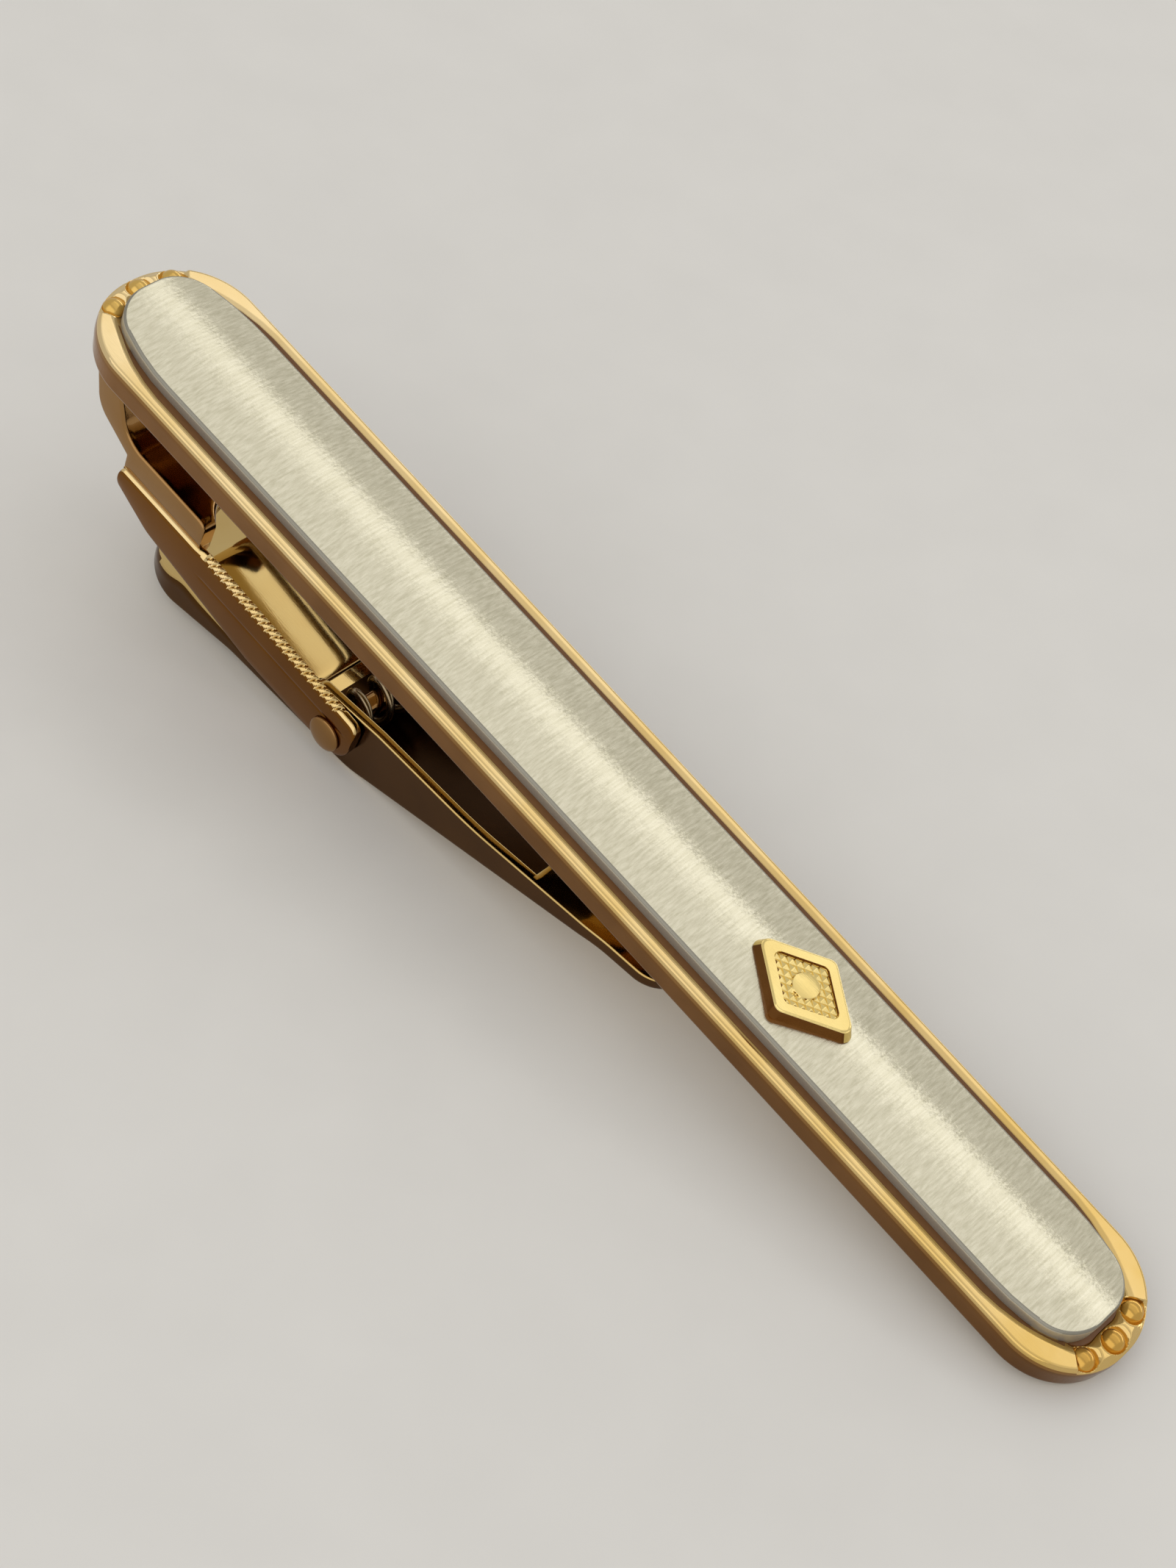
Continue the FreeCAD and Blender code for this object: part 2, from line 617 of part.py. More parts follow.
def add_teeth(body, arm_x, arm_top, far_x):
    """Cuts a row of notches along the sloping upper edge of both ears."""
    notch = new_sketch(body, "notch_outline", "XZ_Plane")
    run = far_x - arm_x
    first_x = arm_x + size.tooth_pitch
    first_z = arm_top - size.arm_drop * size.tooth_pitch / run
    reach = size.tooth_pitch
    draw_outline(notch, [
        (first_x, first_z - size.tooth_depth, None),
        (first_x + reach, first_z + size.tooth_depth, None),
        (first_x - reach, first_z + size.tooth_depth, None),
    ])
    slope = sketch_line(notch, (arm_x, arm_top), (far_x, arm_top - size.arm_drop))
    notch.setConstruction(slope, True)
    tooth = add_pocket(body, "notch", notch, symmetric=True)
    row = body.newObject("PartDesign::LinearPattern", "tooth_row")
    row.Originals = [tooth]
    row.Direction = (notch, ["Axis0"])
    row.Mode = "Spacing"
    row.setExpression("Offset", size.tooth_pitch.formula)
    row.setExpression("Occurrences", size.tooth_count.formula)
    body.Tip = row
    doc.recompute()


def sketch_line(sketch, start, end):
    points = [Vector(x.value, y.value, 0) for x, y in (start, end)]
    line = sketch.addGeometry(Part.LineSegment(*points))
    tie_point(sketch, line, 1, *start)
    tie_point(sketch, line, 2, *end)
    return line


def make_pivot_pin():
    """Rivet with a formed head outside each ear, turned about its own axis."""
    body = new_body("pivot_pin")
    section = new_sketch(body, "pin_section", "XY_Plane")
    shank = size.pin_diameter / 2
    head = size.pin_head_diameter / 2
    seat = size.bracket_width / 2
    end = seat + size.pin_head_height
    draw_outline(section, [
        (ZERO, -end, None),
        (head, -end, size.pin_head_rounding),
        (head, -seat, None),
        (shank, -seat, None),
        (shank, seat, None),
        (head, seat, None),
        (head, end, size.pin_head_rounding),
        (ZERO, end, None),
    ])
    turned = body.newObject("PartDesign::Revolution", "turned")
    turned.Profile = section
    turned.ReferenceAxis = (section, ["V_Axis"])
    doc.recompute()
    body.Placement = Placement(Vector(size.pivot_along.value, 0, pivot_level.value), Rotation())
    return body


def lever_plan(half_width, from_x, to_x, tab_round, tip_round, tip_half_width):
    """Corners of the lever seen from above: parallel beside the pivot, wider towards the jaw's end."""
    flare_x = size.pivot_along + size.flare_start
    full_x = size.pivot_along + size.jaw_reach - size.flare_end_back
    return mirrored([
        (from_x, -half_width, tab_round),
        (flare_x, -half_width, None),
        (full_x, -tip_half_width, None),
        (to_x, -tip_half_width, tip_round),
    ])


def make_jaw_lever():
    """Pressed lever: a channel that widens to the jaw's end pad, and behind it a bent finger tab."""
    blank = new_body("lever_blank")
    along = size.pivot_along
    jaw_end = along + size.jaw_reach
    side = new_sketch(blank, "lever_side", "XZ_Plane")
    draw_outline(side, [
        (along - size.tab_reach, pivot_level - size.tab_end_below, size.tab_edge_rounding),
        (along - size.lip_back, pivot_level - size.lip_below, None),
        (along - size.knee_back, pivot_level - size.knee_below, size.heel_radius),
        (along + size.heel_along, pivot_level - size.heel_below, size.heel_radius),
        (jaw_end - size.pad_under_back, tip_under - size.pad_under_drop, size.pad_bend_radius),
        (jaw_end, tip_under, size.tip_rounding),
        (jaw_end, tip_top, size.tip_rounding),
        (jaw_end - size.pad_top_back, tip_top - size.pad_top_drop, size.pad_bend_radius),
        (along + size.bow_along, pivot_level + size.bow_rise, size.bow_radius),
        (along - size.lobe_back, pivot_level + size.lobe_rise, size.lobe_rounding),
        (along - size.root_back, pivot_level - size.root_below, size.root_rounding),
        (along - size.crest_back, pivot_level - size.crest_below, size.crest_radius),
        (along - size.tab_reach, pivot_level - size.tab_top_below, size.tab_edge_rounding),
    ])
    add_pad(blank, "lever_block", side, size.jaw_tip_width, symmetric=True)
    plan = new_sketch(blank, "lever_plan", "XY_Plane")
    tip_half = size.jaw_tip_width / 2
    tab_round = smaller_of(size.tab_corner, lever_half_width * CORNER_LIMIT_SHARE)
    tip_round = smaller_of(size.jaw_tip_corner, tip_half * CORNER_LIMIT_SHARE)
    tab_end = along - size.tab_reach
    draw_outline(plan, lever_plan(lever_half_width, tab_end, jaw_end, tab_round, tip_round, tip_half))
    border = tip_half + size.overrun
    draw_outline(plan, rectangle(tab_end - size.overrun, jaw_end + size.overrun, -border, border))
    add_pocket(blank, "lever_trim", plan)
    bore = new_sketch(blank, "lever_bore", "XZ_Plane")
    draw_circle(bore, along, pivot_level, size.pin_diameter / 2 + size.lever_fit)
    add_pocket(blank, "lever_bore_cut", bore, symmetric=True)
    shell = doc.addObject("Part::Cut", "lever_shell")
    shell.Base = blank
    shell.Tool = make_lever_hollow()
    lever = doc.addObject("Part::Cut", "jaw_lever")
    lever.Base = shell
    lever.Tool = make_tab_hollow(tab_round)
    lever.Label = "jaw_lever"
    doc.recompute()
    return lever


def make_tab_hollow(tab_round):
    """Space under the finger tab, inside its turned-down edge."""
    hollow = new_body("tab_hollow")
    along = size.pivot_along
    near_x = along - size.tab_reach
    root_x = along - size.root_back
    low = pivot_level - size.lip_below - size.overrun
    side = new_sketch(hollow, "tab_hollow_side", "XZ_Plane")
    draw_outline(side, [
        (near_x, low, None),
        (root_x, low, None),
        (root_x, pivot_level - size.root_below - size.tab_sheet, None),
        (along - size.crest_back, pivot_level - size.crest_below - size.tab_sheet, size.crest_radius),
        (near_x, pivot_level - size.tab_top_below - size.tab_sheet, None),
    ])
    inside = lever_half_width - size.lever_wall
    add_pad(hollow, "tab_hollow_block", side, inside * 2, symmetric=True)
    plan = new_sketch(hollow, "tab_hollow_plan", "XY_Plane")
    end_x = near_x + size.lever_wall
    corner = smaller_of(tab_round - size.lever_wall, inside * CORNER_LIMIT_SHARE)
    draw_outline(plan, mirrored([(end_x, -inside, corner), (root_x + size.overrun, -inside, None)]))
    border = inside + size.overrun
    draw_outline(plan, rectangle(near_x - size.overrun, root_x + size.overrun * 2, -border, border))
    add_pocket(hollow, "tab_hollow_trim", plan)
    return hollow


def make_lever_hollow():
    """Space inside the lever's channel, above its floor and between its walls."""
    hollow = new_body("lever_hollow")
    along = size.pivot_along
    heel_x = along + size.heel_along
    heel_z = pivot_level - size.heel_below
    ramp_x = along + size.jaw_reach - size.pad_under_back
    ramp_rise = (tip_under - size.pad_under_drop - heel_z) / (ramp_x - heel_x)
    end_x = along + size.jaw_reach - size.hollow_end_back
    end_z = heel_z + ramp_rise * (end_x - heel_x) + size.lever_floor
    side = new_sketch(hollow, "hollow_side", "XZ_Plane")
    root_x = along - size.root_back
    draw_outline(side, [
        (root_x, pivot_level - size.root_below, None),
        (heel_x, heel_z + size.lever_floor, size.heel_radius),
        (end_x, end_z, None),
        (end_x, ZERO, None),
        (root_x, ZERO, None),
    ])
    add_pad(hollow, "hollow_block", side, size.jaw_tip_width, symmetric=True)
    plan = new_sketch(hollow, "hollow_plan", "XY_Plane")
    inside = lever_half_width - size.lever_wall
    inside_tip = size.jaw_tip_width / 2 - size.lever_wall
    far_x = along + size.jaw_reach
    near_x = root_x - size.overrun
    draw_outline(plan, lever_plan(inside, near_x, far_x, None, None, inside_tip))
    border = size.jaw_tip_width / 2 + size.overrun
    draw_outline(plan, rectangle(near_x - size.overrun, far_x + size.overrun, -border, border))
    add_pocket(hollow, "hollow_trim", plan)
    return hollow


def biarc(start, start_way, end, end_way):
    """Two arcs that leave start along start_way, join smoothly and reach end along end_way."""
    span = end - start
    ways = start_way + end_way
    spare = 4 - ways.dot(ways)
    along = span.dot(ways)
    reach = (math.sqrt(along * along + spare * span.dot(span)) - along) / spare
    first_control = start + start_way * reach
    last_control = end - end_way * reach
    joint = (first_control + last_control) * 0.5
    return [arc_under(start, first_control, joint), arc_under(joint, last_control, end)]


def arc_under(start, control, end):
    """Arc from start to end whose end tangents meet at control."""
    chord_middle = (start + end) * 0.5
    half_chord = start.distanceToPoint(end) / 2
    height = control.distanceToPoint(chord_middle)
    bulge = half_chord * math.tan(math.atan2(height, half_chord) / 2)
    return Part.Arc(start, chord_middle + (control - chord_middle).normalize() * bulge, end)


def spring_path():
    """Centre line of the spring: a leg along the lever, the turns about the pin, a leg under the bracket."""
    radius = size.coil_radius.value
    turn_count = int(size.coil_turns.value)
    lower_leg = size.lower_leg_reach.value
    upper_leg = size.upper_leg_reach.value
    clear = size.wire_diameter.value / 2 + size.spring_seat_gap.value
    rise = (size.root_below - size.crest_below).value / (size.crest_back - size.root_back).value
    plate = size.root_below.value - rise * (lower_leg - size.root_back.value)
    rest_slope = math.atan2(plate - clear - radius, lower_leg)
    seat = web_under.value - pivot_level.value - clear
    seat_slope = math.atan2(seat - radius, upper_leg)
    first_turn = rest_slope - math.pi / 2
    last_turn = math.pi / 2 - seat_slope + 2 * math.pi * turn_count
    quarters = 4 * turn_count + 2
    advance = size.coil_pitch.value / (2 * math.pi)
    length = advance * (last_turn - first_turn)
    points, ways = [], []
    for step in range(quarters + 1):
        turn = first_turn + (last_turn - first_turn) * step / quarters
        across = length * step / quarters - length / 2
        points.append(Vector(radius * math.cos(turn), across, radius * math.sin(turn)))
        drift = 0 if step in (0, quarters) else advance
        ways.append(Vector(-radius * math.sin(turn), drift, radius * math.cos(turn)).normalize())
    lower_end = points[0] - ways[0] * lower_leg
    upper_end = points[-1] + ways[-1] * upper_leg
    curves = [Part.LineSegment(lower_end, points[0])]
    for step in range(quarters):
        curves += biarc(points[step], ways[step], points[step + 1], ways[step + 1])
    curves.append(Part.LineSegment(points[-1], upper_end))
    return curves


def print_spring_gap(curves):
    """Measures the least clear distance between neighbouring turns on points along the wire."""
    wire = size.wire_diameter.value
    samples = []
    travelled = 0
    for curve in curves[1:-1]:
        edge = curve.toShape()
        for point in edge.discretize(12)[:-1]:
            samples.append((travelled, point))
            travelled += edge.Length / 11
    half_turn = math.pi * size.coil_radius.value
    gaps = [
        one.distanceToPoint(other) - wire
        for i, (here, one) in enumerate(samples)
        for there, other in samples[i + 1:]
        if there - here > half_turn
    ]
    print(f"torsion_spring: least gap to itself {min(gaps):.3f} mm")


def make_torsion_spring():
    """One unbroken wire: two straight legs and the turns between them."""
    curves = spring_path()
    print_spring_gap(curves)
    path = Part.Wire([curve.toShape() for curve in curves])
    start = curves[0].StartPoint
    way = curves[0].EndPoint - start
    section = Part.Wire([Part.Circle(start, way, size.wire_diameter.value / 2).toShape()])
    spring = doc.addObject("Part::Feature", "torsion_spring")
    spring.Label = "torsion_spring"
    spring.Shape = path.makePipeShell([section], True, False)
    spring.Placement = Placement(Vector(size.pivot_along.value, 0, pivot_level.value), Rotation())
    return spring


def lowest_point(piece, tilt):
    shape = piece.Shape.copy()
    shape.rotate(Vector(), Vector(0, 1, 0), tilt)
    return shape.optimalBoundingBox().ZMin


def resting_tilt(lever, back_plate):
    """Angle about y at which the lever and the tip of the bar are equally low, by halving an interval."""
    level, steep = 0, STEEPEST_TILT
    for step in range(HALVINGS):
        tilt = (level + steep) / 2
        if lowest_point(lever, tilt) < lowest_point(back_plate, tilt):
            level = tilt
        else:
            steep = tilt
    return tilt


def rest_on_table(pieces, lever, back_plate):
    """Lays the clip on its lever and its tip, and puts the origin under the middle of its box."""
    tilt = resting_tilt(lever, back_plate)
    lay = Placement(Vector(), Rotation(Vector(0, 1, 0), tilt))
    whole = Part.makeCompound([piece.Shape for piece in pieces])
    whole.Placement = lay
    box = whole.optimalBoundingBox()
    shift = Placement(Vector(-box.Center.x, -box.Center.y, -box.ZMin), Rotation())
    resting = shift.multiply(lay)
    for piece in pieces:
        piece.Placement = resting.multiply(piece.Placement)
    print(f"tilt {tilt:.4f} degrees, box {box.XLength:.3f} x {box.YLength:.3f} x {box.ZLength:.3f} mm")
    print(f"bar's own origin at {resting.Base.x:.4f}, {resting.Base.y:.4f}, {resting.Base.z:.4f} mm")
    pivot = resting.multVec(Vector(size.pivot_along.value, 0, pivot_level.value))
    print(f"pivot at {pivot.x:.4f}, {pivot.y:.4f}, {pivot.z:.4f} mm")


def check_and_export(pieces):
    for item in doc.Objects:
        if "Invalid" in item.State or "Error" in item.State:
            raise RuntimeError(f"{item.Label} failed: {item.State}")
    for piece in pieces:
        if piece.Shape.isNull() or not piece.Shape.isValid():
            raise RuntimeError(f"{piece.Label} has no valid shape")
    os.makedirs("parts", exist_ok=True)
    for piece in pieces:
        piece.Shape.exportStep(f"parts/{piece.Label}.step")
        print(f"{piece.Label}: {len(piece.Shape.Solids)} solid, {piece.Shape.Volume:.2f} mm3")


back_plate = make_back_plate()
jaw_lever = make_jaw_lever()
clip = [
    make_front_frame(),
    make_steel_inlay(),
    make_inlay_bond(),
    make_emblem(),
    back_plate,
    make_hinge_bracket(),
    make_pivot_pin(),
    jaw_lever,
    make_torsion_spring(),
]
doc.recompute()
rest_on_table(clip, jaw_lever, back_plate)
check_and_export(clip)
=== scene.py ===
# %% [markdown]
# # A gilt tie clip, dressed around its solid model
# The solid model gives every place and size, and this lesson gives the clip its finish. Each visible
# piece is worked out again as a fine surface with softened edges, because polished metal shows its
# shape mostly through the thin bright lines along its edges.

# %% Load the solid model
import math

import bmesh
import bpy
import numpy as np
from mathutils import Matrix


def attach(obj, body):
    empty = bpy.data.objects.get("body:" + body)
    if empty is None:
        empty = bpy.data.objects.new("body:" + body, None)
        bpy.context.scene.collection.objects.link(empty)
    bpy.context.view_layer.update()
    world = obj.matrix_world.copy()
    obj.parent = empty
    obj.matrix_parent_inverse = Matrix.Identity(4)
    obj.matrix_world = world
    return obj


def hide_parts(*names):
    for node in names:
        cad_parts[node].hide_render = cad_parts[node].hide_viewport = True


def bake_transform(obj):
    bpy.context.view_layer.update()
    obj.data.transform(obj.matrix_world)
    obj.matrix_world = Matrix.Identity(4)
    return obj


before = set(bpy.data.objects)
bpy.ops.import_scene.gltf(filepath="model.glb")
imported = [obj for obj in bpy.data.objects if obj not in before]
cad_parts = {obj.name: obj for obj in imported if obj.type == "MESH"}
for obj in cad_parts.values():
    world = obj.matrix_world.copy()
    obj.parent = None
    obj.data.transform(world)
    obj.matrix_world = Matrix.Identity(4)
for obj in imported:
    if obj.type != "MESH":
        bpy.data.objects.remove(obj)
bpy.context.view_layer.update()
print("solid pieces:", sorted(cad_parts))

# %% [markdown]
# ## The bar's own axes
# The clip lies tilted on the table, but its pieces are easiest to describe along the bar: x runs from
# the folded end to the tip, y across, and z up from the top of the rim, in millimetres. One function
# turns such points into the resting place, so no piece is ever moved afterwards. Two more put an object
# into the scene and aim a camera or a lamp by the same axes.

# %% From the bar's axes to the table
MM = 0.001
TILT = math.radians(10.7511)
BAR_ORIGIN = np.array([-28.3525, 0.0, 12.2820])
BAR_LENGTH = 58.0


def points_of(x, y, z):
    """Points from three coordinates, each spread to the shape of all."""
    return np.stack(np.broadcast_arrays(x, y, z), -1)


def turn_with_bar(vectors):
    """Turns directions about y by the tilt: x' = x cos + z sin, z' = z cos - x sin."""
    x, y, z = np.moveaxis(np.asarray(vectors, float), -1, 0)
    along = x * math.cos(TILT) + z * math.sin(TILT)
    up = z * math.cos(TILT) - x * math.sin(TILT)
    return points_of(along, y, up)


def lay_down(points):
    """Bar points in millimetres to the table's frame in metres: turn, then shift."""
    return (turn_with_bar(points) + BAR_ORIGIN) * MM


def unit(vectors):
    """The same directions with length 1."""
    return vectors / np.linalg.norm(vectors, axis=-1, keepdims=True)


def add_object(name, data):
    """Puts a mesh, a lens or a lamp into the scene."""
    thing = bpy.data.objects.new(name, data)
    bpy.context.scene.collection.objects.link(thing)
    return thing


def aim(thing, right, up, back, place):
    """Turns a camera or lamp to axes given along the bar, and sets it at a place in bar millimetres."""
    pose = np.eye(4)
    pose[:3, :3] = turn_with_bar([right, up, back]).T
    pose[:3, 3] = lay_down(place)
    thing.matrix_world = Matrix(pose.tolist())


print("bar ends at", lay_down([[0, 0, 0], [BAR_LENGTH, 0, 0]]).round(4).tolist())

# %% [markdown]
# ## Camera
# The picture looks down on the near long side, with the bar running from the upper left to the lower
# right. The lens is long enough to keep the far end nearly as wide as the near one. The angles below
# were found by laying the outline of the bar over the picture.

# %% Camera
PICTURE_HEIGHT = 2133
FOCAL_PIXELS = 3869
SENSOR_MM = 36.0
VIEW_SIDE, VIEW_END, VIEW_ROLL = np.radians([34.97, 11.99, 47.22])
LOOK_AT = np.array([28.635, -0.52, 0.0])
VIEW_DISTANCE = 110.198

to_camera = np.array([
    math.sin(VIEW_END),
    -math.sin(VIEW_SIDE) * math.cos(VIEW_END),
    math.cos(VIEW_SIDE) * math.cos(VIEW_END),
])
level_right = unit(np.array([1.0, 0, 0]) - to_camera[0] * to_camera)
level_up = np.cross(to_camera, level_right)
picture_right = math.cos(VIEW_ROLL) * level_right + math.sin(VIEW_ROLL) * level_up
picture_up = math.cos(VIEW_ROLL) * level_up - math.sin(VIEW_ROLL) * level_right

lens = bpy.data.cameras.new("camera")
lens.sensor_fit = "VERTICAL"
lens.sensor_height = SENSOR_MM
lens.lens = SENSOR_MM * FOCAL_PIXELS / PICTURE_HEIGHT
lens.clip_start = 0.005
camera = add_object("camera", lens)
aim(camera, picture_right, picture_up, to_camera, LOOK_AT + VIEW_DISTANCE * to_camera)
bpy.context.scene.camera = camera
print("camera", VIEW_DISTANCE, "mm away with a lens of", round(lens.lens, 2), "mm")

# %% [markdown]
# ## Colours and nodes
# Colours are noted as they look on a screen and turned into linear light by one function. One more
# function adds a node with its settings, its socket values and its links. The finishes below are all
# built from a few common steps on it: noise of a known size, a change of range, two tones and a bump.

# %% Colour and node helpers


def linear(hex_code):
    """Screen colour such as C8A060 to linear red, green, blue and alpha."""
    screen = np.array([int(hex_code[i:i + 2], 16) for i in (0, 2, 4)]) / 255
    light = np.where(screen <= 0.04045, screen / 12.92, ((screen + 0.055) / 1.055) ** 2.4)
    return (*light.tolist(), 1.0)


def add_node(tree, kind, values=(), links=(), **settings):
    """Adds a node: settings are its own options, values fill sockets, links feed sockets."""
    node = tree.nodes.new(kind)
    for name, setting in settings.items():
        setattr(node, name, setting)
    for socket, value in dict(values).items():
        node.inputs[socket].default_value = value
    for socket, source in dict(links).items():
        tree.links.new(source, node.inputs[socket])
    return node


def new_material(name):
    """Starts a material: gives its tree, its shader and the place on the bar in millimetres."""
    material = bpy.data.materials.new(name)
    material.use_nodes = True
    tree = material.node_tree
    shader = tree.nodes["Principled BSDF"]
    place = add_node(tree, "ShaderNodeTexCoord").outputs["Object"]
    to_bar = {"Scale": (1 / MM,) * 3, "Rotation": (0, -TILT, 0)}
    bar = add_node(tree, "ShaderNodeMapping", to_bar, {"Vector": place})
    return material, tree, shader, bar.outputs["Vector"]


def noise(tree, place, size_mm, detail, stretch=(1, 1, 1), roughness=0.5):
    """Noise with spots of a size in millimetres, drawn out along each axis whose stretch is below 1."""
    drawn = add_node(tree, "ShaderNodeMapping", {"Scale": stretch}, {"Vector": place}).outputs["Vector"]
    values = {"Scale": 1 / size_mm, "Detail": detail, "Roughness": roughness}
    return add_node(tree, "ShaderNodeTexNoise", values, {"Vector": drawn}).outputs["Fac"]


def new_range(tree, value, source, target=(0, 1)):
    """Carries a value from one range over to another, held at both ends."""
    ends = {"From Min": source[0], "From Max": source[1], "To Min": target[0], "To Max": target[1]}
    return add_node(tree, "ShaderNodeMapRange", ends, {"Value": value}).outputs["Result"]


def two_tones(tree, shader, share, first, second):
    """Colours a surface between two screen colours by a share from 0 to 1."""
    tones = {6: linear(first), 7: linear(second)}
    mixed = add_node(tree, "ShaderNodeMix", tones, {0: share}, data_type="RGBA")
    tree.links.new(mixed.outputs[2], shader.inputs["Base Color"])


def bump(tree, relief, height_mm, strength=1.0, **below):
    """Ripples of a height in millimetres, on top of any Normal that lies below."""
    values = {"Strength": strength, "Distance": height_mm * MM}
    return add_node(tree, "ShaderNodeBump", values, {"Height": relief, **below}).outputs["Normal"]


print("pale gold reads as", [round(part, 3) for part in linear("E6CD9A")[:3]])

# %% [markdown]
# ## Gold plate on polished brass
# The frame, the tail, the bracket and the lever are brass, cast or pressed, polished on a soft wheel
# and plated with thin gold. The eye sees a warm mirror that is a little paler at the folded end and warmer
# towards the tip, with faint cloudy patches and hairline marks from handling. Clouds about 3 mm across
# change tone and gloss, and hairlines 0.06 mm wide, a touch coarser than real ones so that they show,
# ripple the reflections.

# %% Gold finish
CLOUD_MM = 3.0
CLOUD_TONE, CLOUD_GLOSS = (0.4, 0.7), (0.35, 0.7)
TIP_WARMTH, CLOUD_WARMTH = 0.6, 0.4
HAIRLINE_MM, HAIRLINE_STRETCH = 0.06, 0.12
HALF_BAR_MM = 28.0


def gold_finish(name, pale, warm, gloss, worn_gloss, hairline):
    """Gold plate: warmer along the bar and in clouds, gloss from the same clouds, hairlines as bump."""
    material, tree, shader, bar = new_material(name)
    clouds = noise(tree, bar, CLOUD_MM, detail=3.0)
    along = add_node(tree, "ShaderNodeSeparateXYZ", (), {"Vector": bar}).outputs["X"]
    towards_tip = new_range(tree, along, (-HALF_BAR_MM, HALF_BAR_MM), (0, TIP_WARMTH))
    cloudy = new_range(tree, clouds, CLOUD_TONE, (0, CLOUD_WARMTH))
    warmth = add_node(tree, "ShaderNodeMath", (), {0: towards_tip, 1: cloudy}, operation="ADD")
    two_tones(tree, shader, warmth.outputs[0], pale, warm)
    rough = new_range(tree, clouds, CLOUD_GLOSS, (gloss, worn_gloss))
    tree.links.new(rough, shader.inputs["Roughness"])
    marks = noise(tree, bar, HAIRLINE_MM, detail=2.0, stretch=(HAIRLINE_STRETCH, 1, 1))
    tree.links.new(bump(tree, marks, HAIRLINE_MM, hairline), shader.inputs["Normal"])
    shader.inputs["Metallic"].default_value = 1.0
    return material


# The polished rim and the pressed lever are pale mirrors, and the struck ornament is bright. Darker
# browns paint shade and dark reflections: a middle brown on the folded tail, the rivet and the rim's
# shoulders, deeper ones on the steep walls, the bent ears, the ornament's sloping sides and the lever's
# sides, and a near-black brown on the floor of the jaw's hollow.
GILT = gold_finish("gold_plated_brass_polished", "E6CD9A", "D8B362", 0.08, 0.15, 0.015)
GILT_WALL_SHADE = gold_finish("gold_plated_brass_painted_wall_shade", "92693F", "6E4A25", 0.10, 0.18, 0.02)
GILT_HALF_SHADE = gold_finish("gold_plated_brass_painted_half_shade", "A07B4E", "946C3C", 0.07, 0.14, 0.01)
GILT_EAR_SHADE = gold_finish("gold_plated_brass_painted_ear_shade", "805421", "6E4416", 0.10, 0.18, 0.02)
GILT_LEVER = gold_finish("gold_plated_brass_pressed", "CFB478", "C4A262", 0.06, 0.12, 0.01)
GILT_BEAD = gold_finish("gold_plated_brass_beaded", "DDB868", "CF9E48", 0.20, 0.28, 0.02)
GILT_STRUCK = gold_finish("gold_plated_brass_struck", "F4E09A", "EED184", 0.14, 0.22, 0.06)
GILT_LEVER_SIDE_SHADE = gold_finish("gold_plated_brass_painted_lever_side_shade", "5C3C14", "4A2D0C", 0.14, 0.24, 0.02)
GILT_HOLLOW_SHADE = gold_finish("gold_plated_brass_painted_hollow_shade", "34200D", "281708", 0.20, 0.30, 0.03)
GILT_SHADE = gold_finish("gold_plated_brass_painted_ornament_shade", "7C5229", "6A441F", 0.22, 0.32, 0.06)
print("gold finishes:", [finish.name for finish in bpy.data.materials])

# %% [markdown]
# ## Brushed stainless steel
# The panel is stainless steel drawn across a fine abrasive belt, so countless strokes run across the
# bar. Light smears along the bar, at right angles to the strokes, and stays fairly crisp across it.
# The shader's anisotropy with a tangent along the bar does that. Strokes about 0.03 mm wide, drawn
# 0.1 mm wide so that they show, vary the tone, and a fine crinkle between them glitters wherever
# bright and dark surroundings meet in the mirror of the dome.

# %% Steel finishes
STROKE_MM, STROKE_STRETCH, STROKE_HEIGHT_MM = 0.1, 0.07, 0.0036
STROKE_TONE, STROKE_GLOSS = (0.3, 0.7), (0.22, 0.30)
CRINKLE_MM, CRINKLE_STRETCH, CRINKLE_HEIGHT_MM = 0.13, 0.45, 0.009
SMEAR = 0.9
UV_NAME = "brushing"


def brushed_steel():
    """Stainless steel: long gloss along the bar, strokes in tone and gloss, strokes and crinkle as bump."""
    material, tree, shader, bar = new_material("stainless_steel_brushed")
    strokes = noise(tree, bar, STROKE_MM, detail=3.0, stretch=(1, STROKE_STRETCH, 1), roughness=0.6)
    crinkle = noise(tree, bar, CRINKLE_MM, detail=2.0, stretch=(1, CRINKLE_STRETCH, 1))
    two_tones(tree, shader, new_range(tree, strokes, STROKE_TONE), "D3CDB3", "F2ECD4")
    tree.links.new(new_range(tree, strokes, STROKE_TONE, STROKE_GLOSS), shader.inputs["Roughness"])
    lines = bump(tree, strokes, STROKE_HEIGHT_MM)
    tree.links.new(bump(tree, crinkle, CRINKLE_HEIGHT_MM, Normal=lines), shader.inputs["Normal"])
    along = add_node(tree, "ShaderNodeTangent", direction_type="UV_MAP", uv_map=UV_NAME)
    tree.links.new(along.outputs["Tangent"], shader.inputs["Tangent"])
    shader.inputs["Metallic"].default_value = 1.0
    shader.inputs["Anisotropic"].default_value = SMEAR
    return material


def plain_finish(name, light, dark, patch_mm, roughness, metallic):
    """A quiet surface: two tones mixed by patches of one size, one gloss."""
    material, tree, shader, bar = new_material(name)
    two_tones(tree, shader, noise(tree, bar, patch_mm, detail=4.0), dark, light)
    shader.inputs["Roughness"].default_value = roughness
    shader.inputs["Metallic"].default_value = metallic
    return material
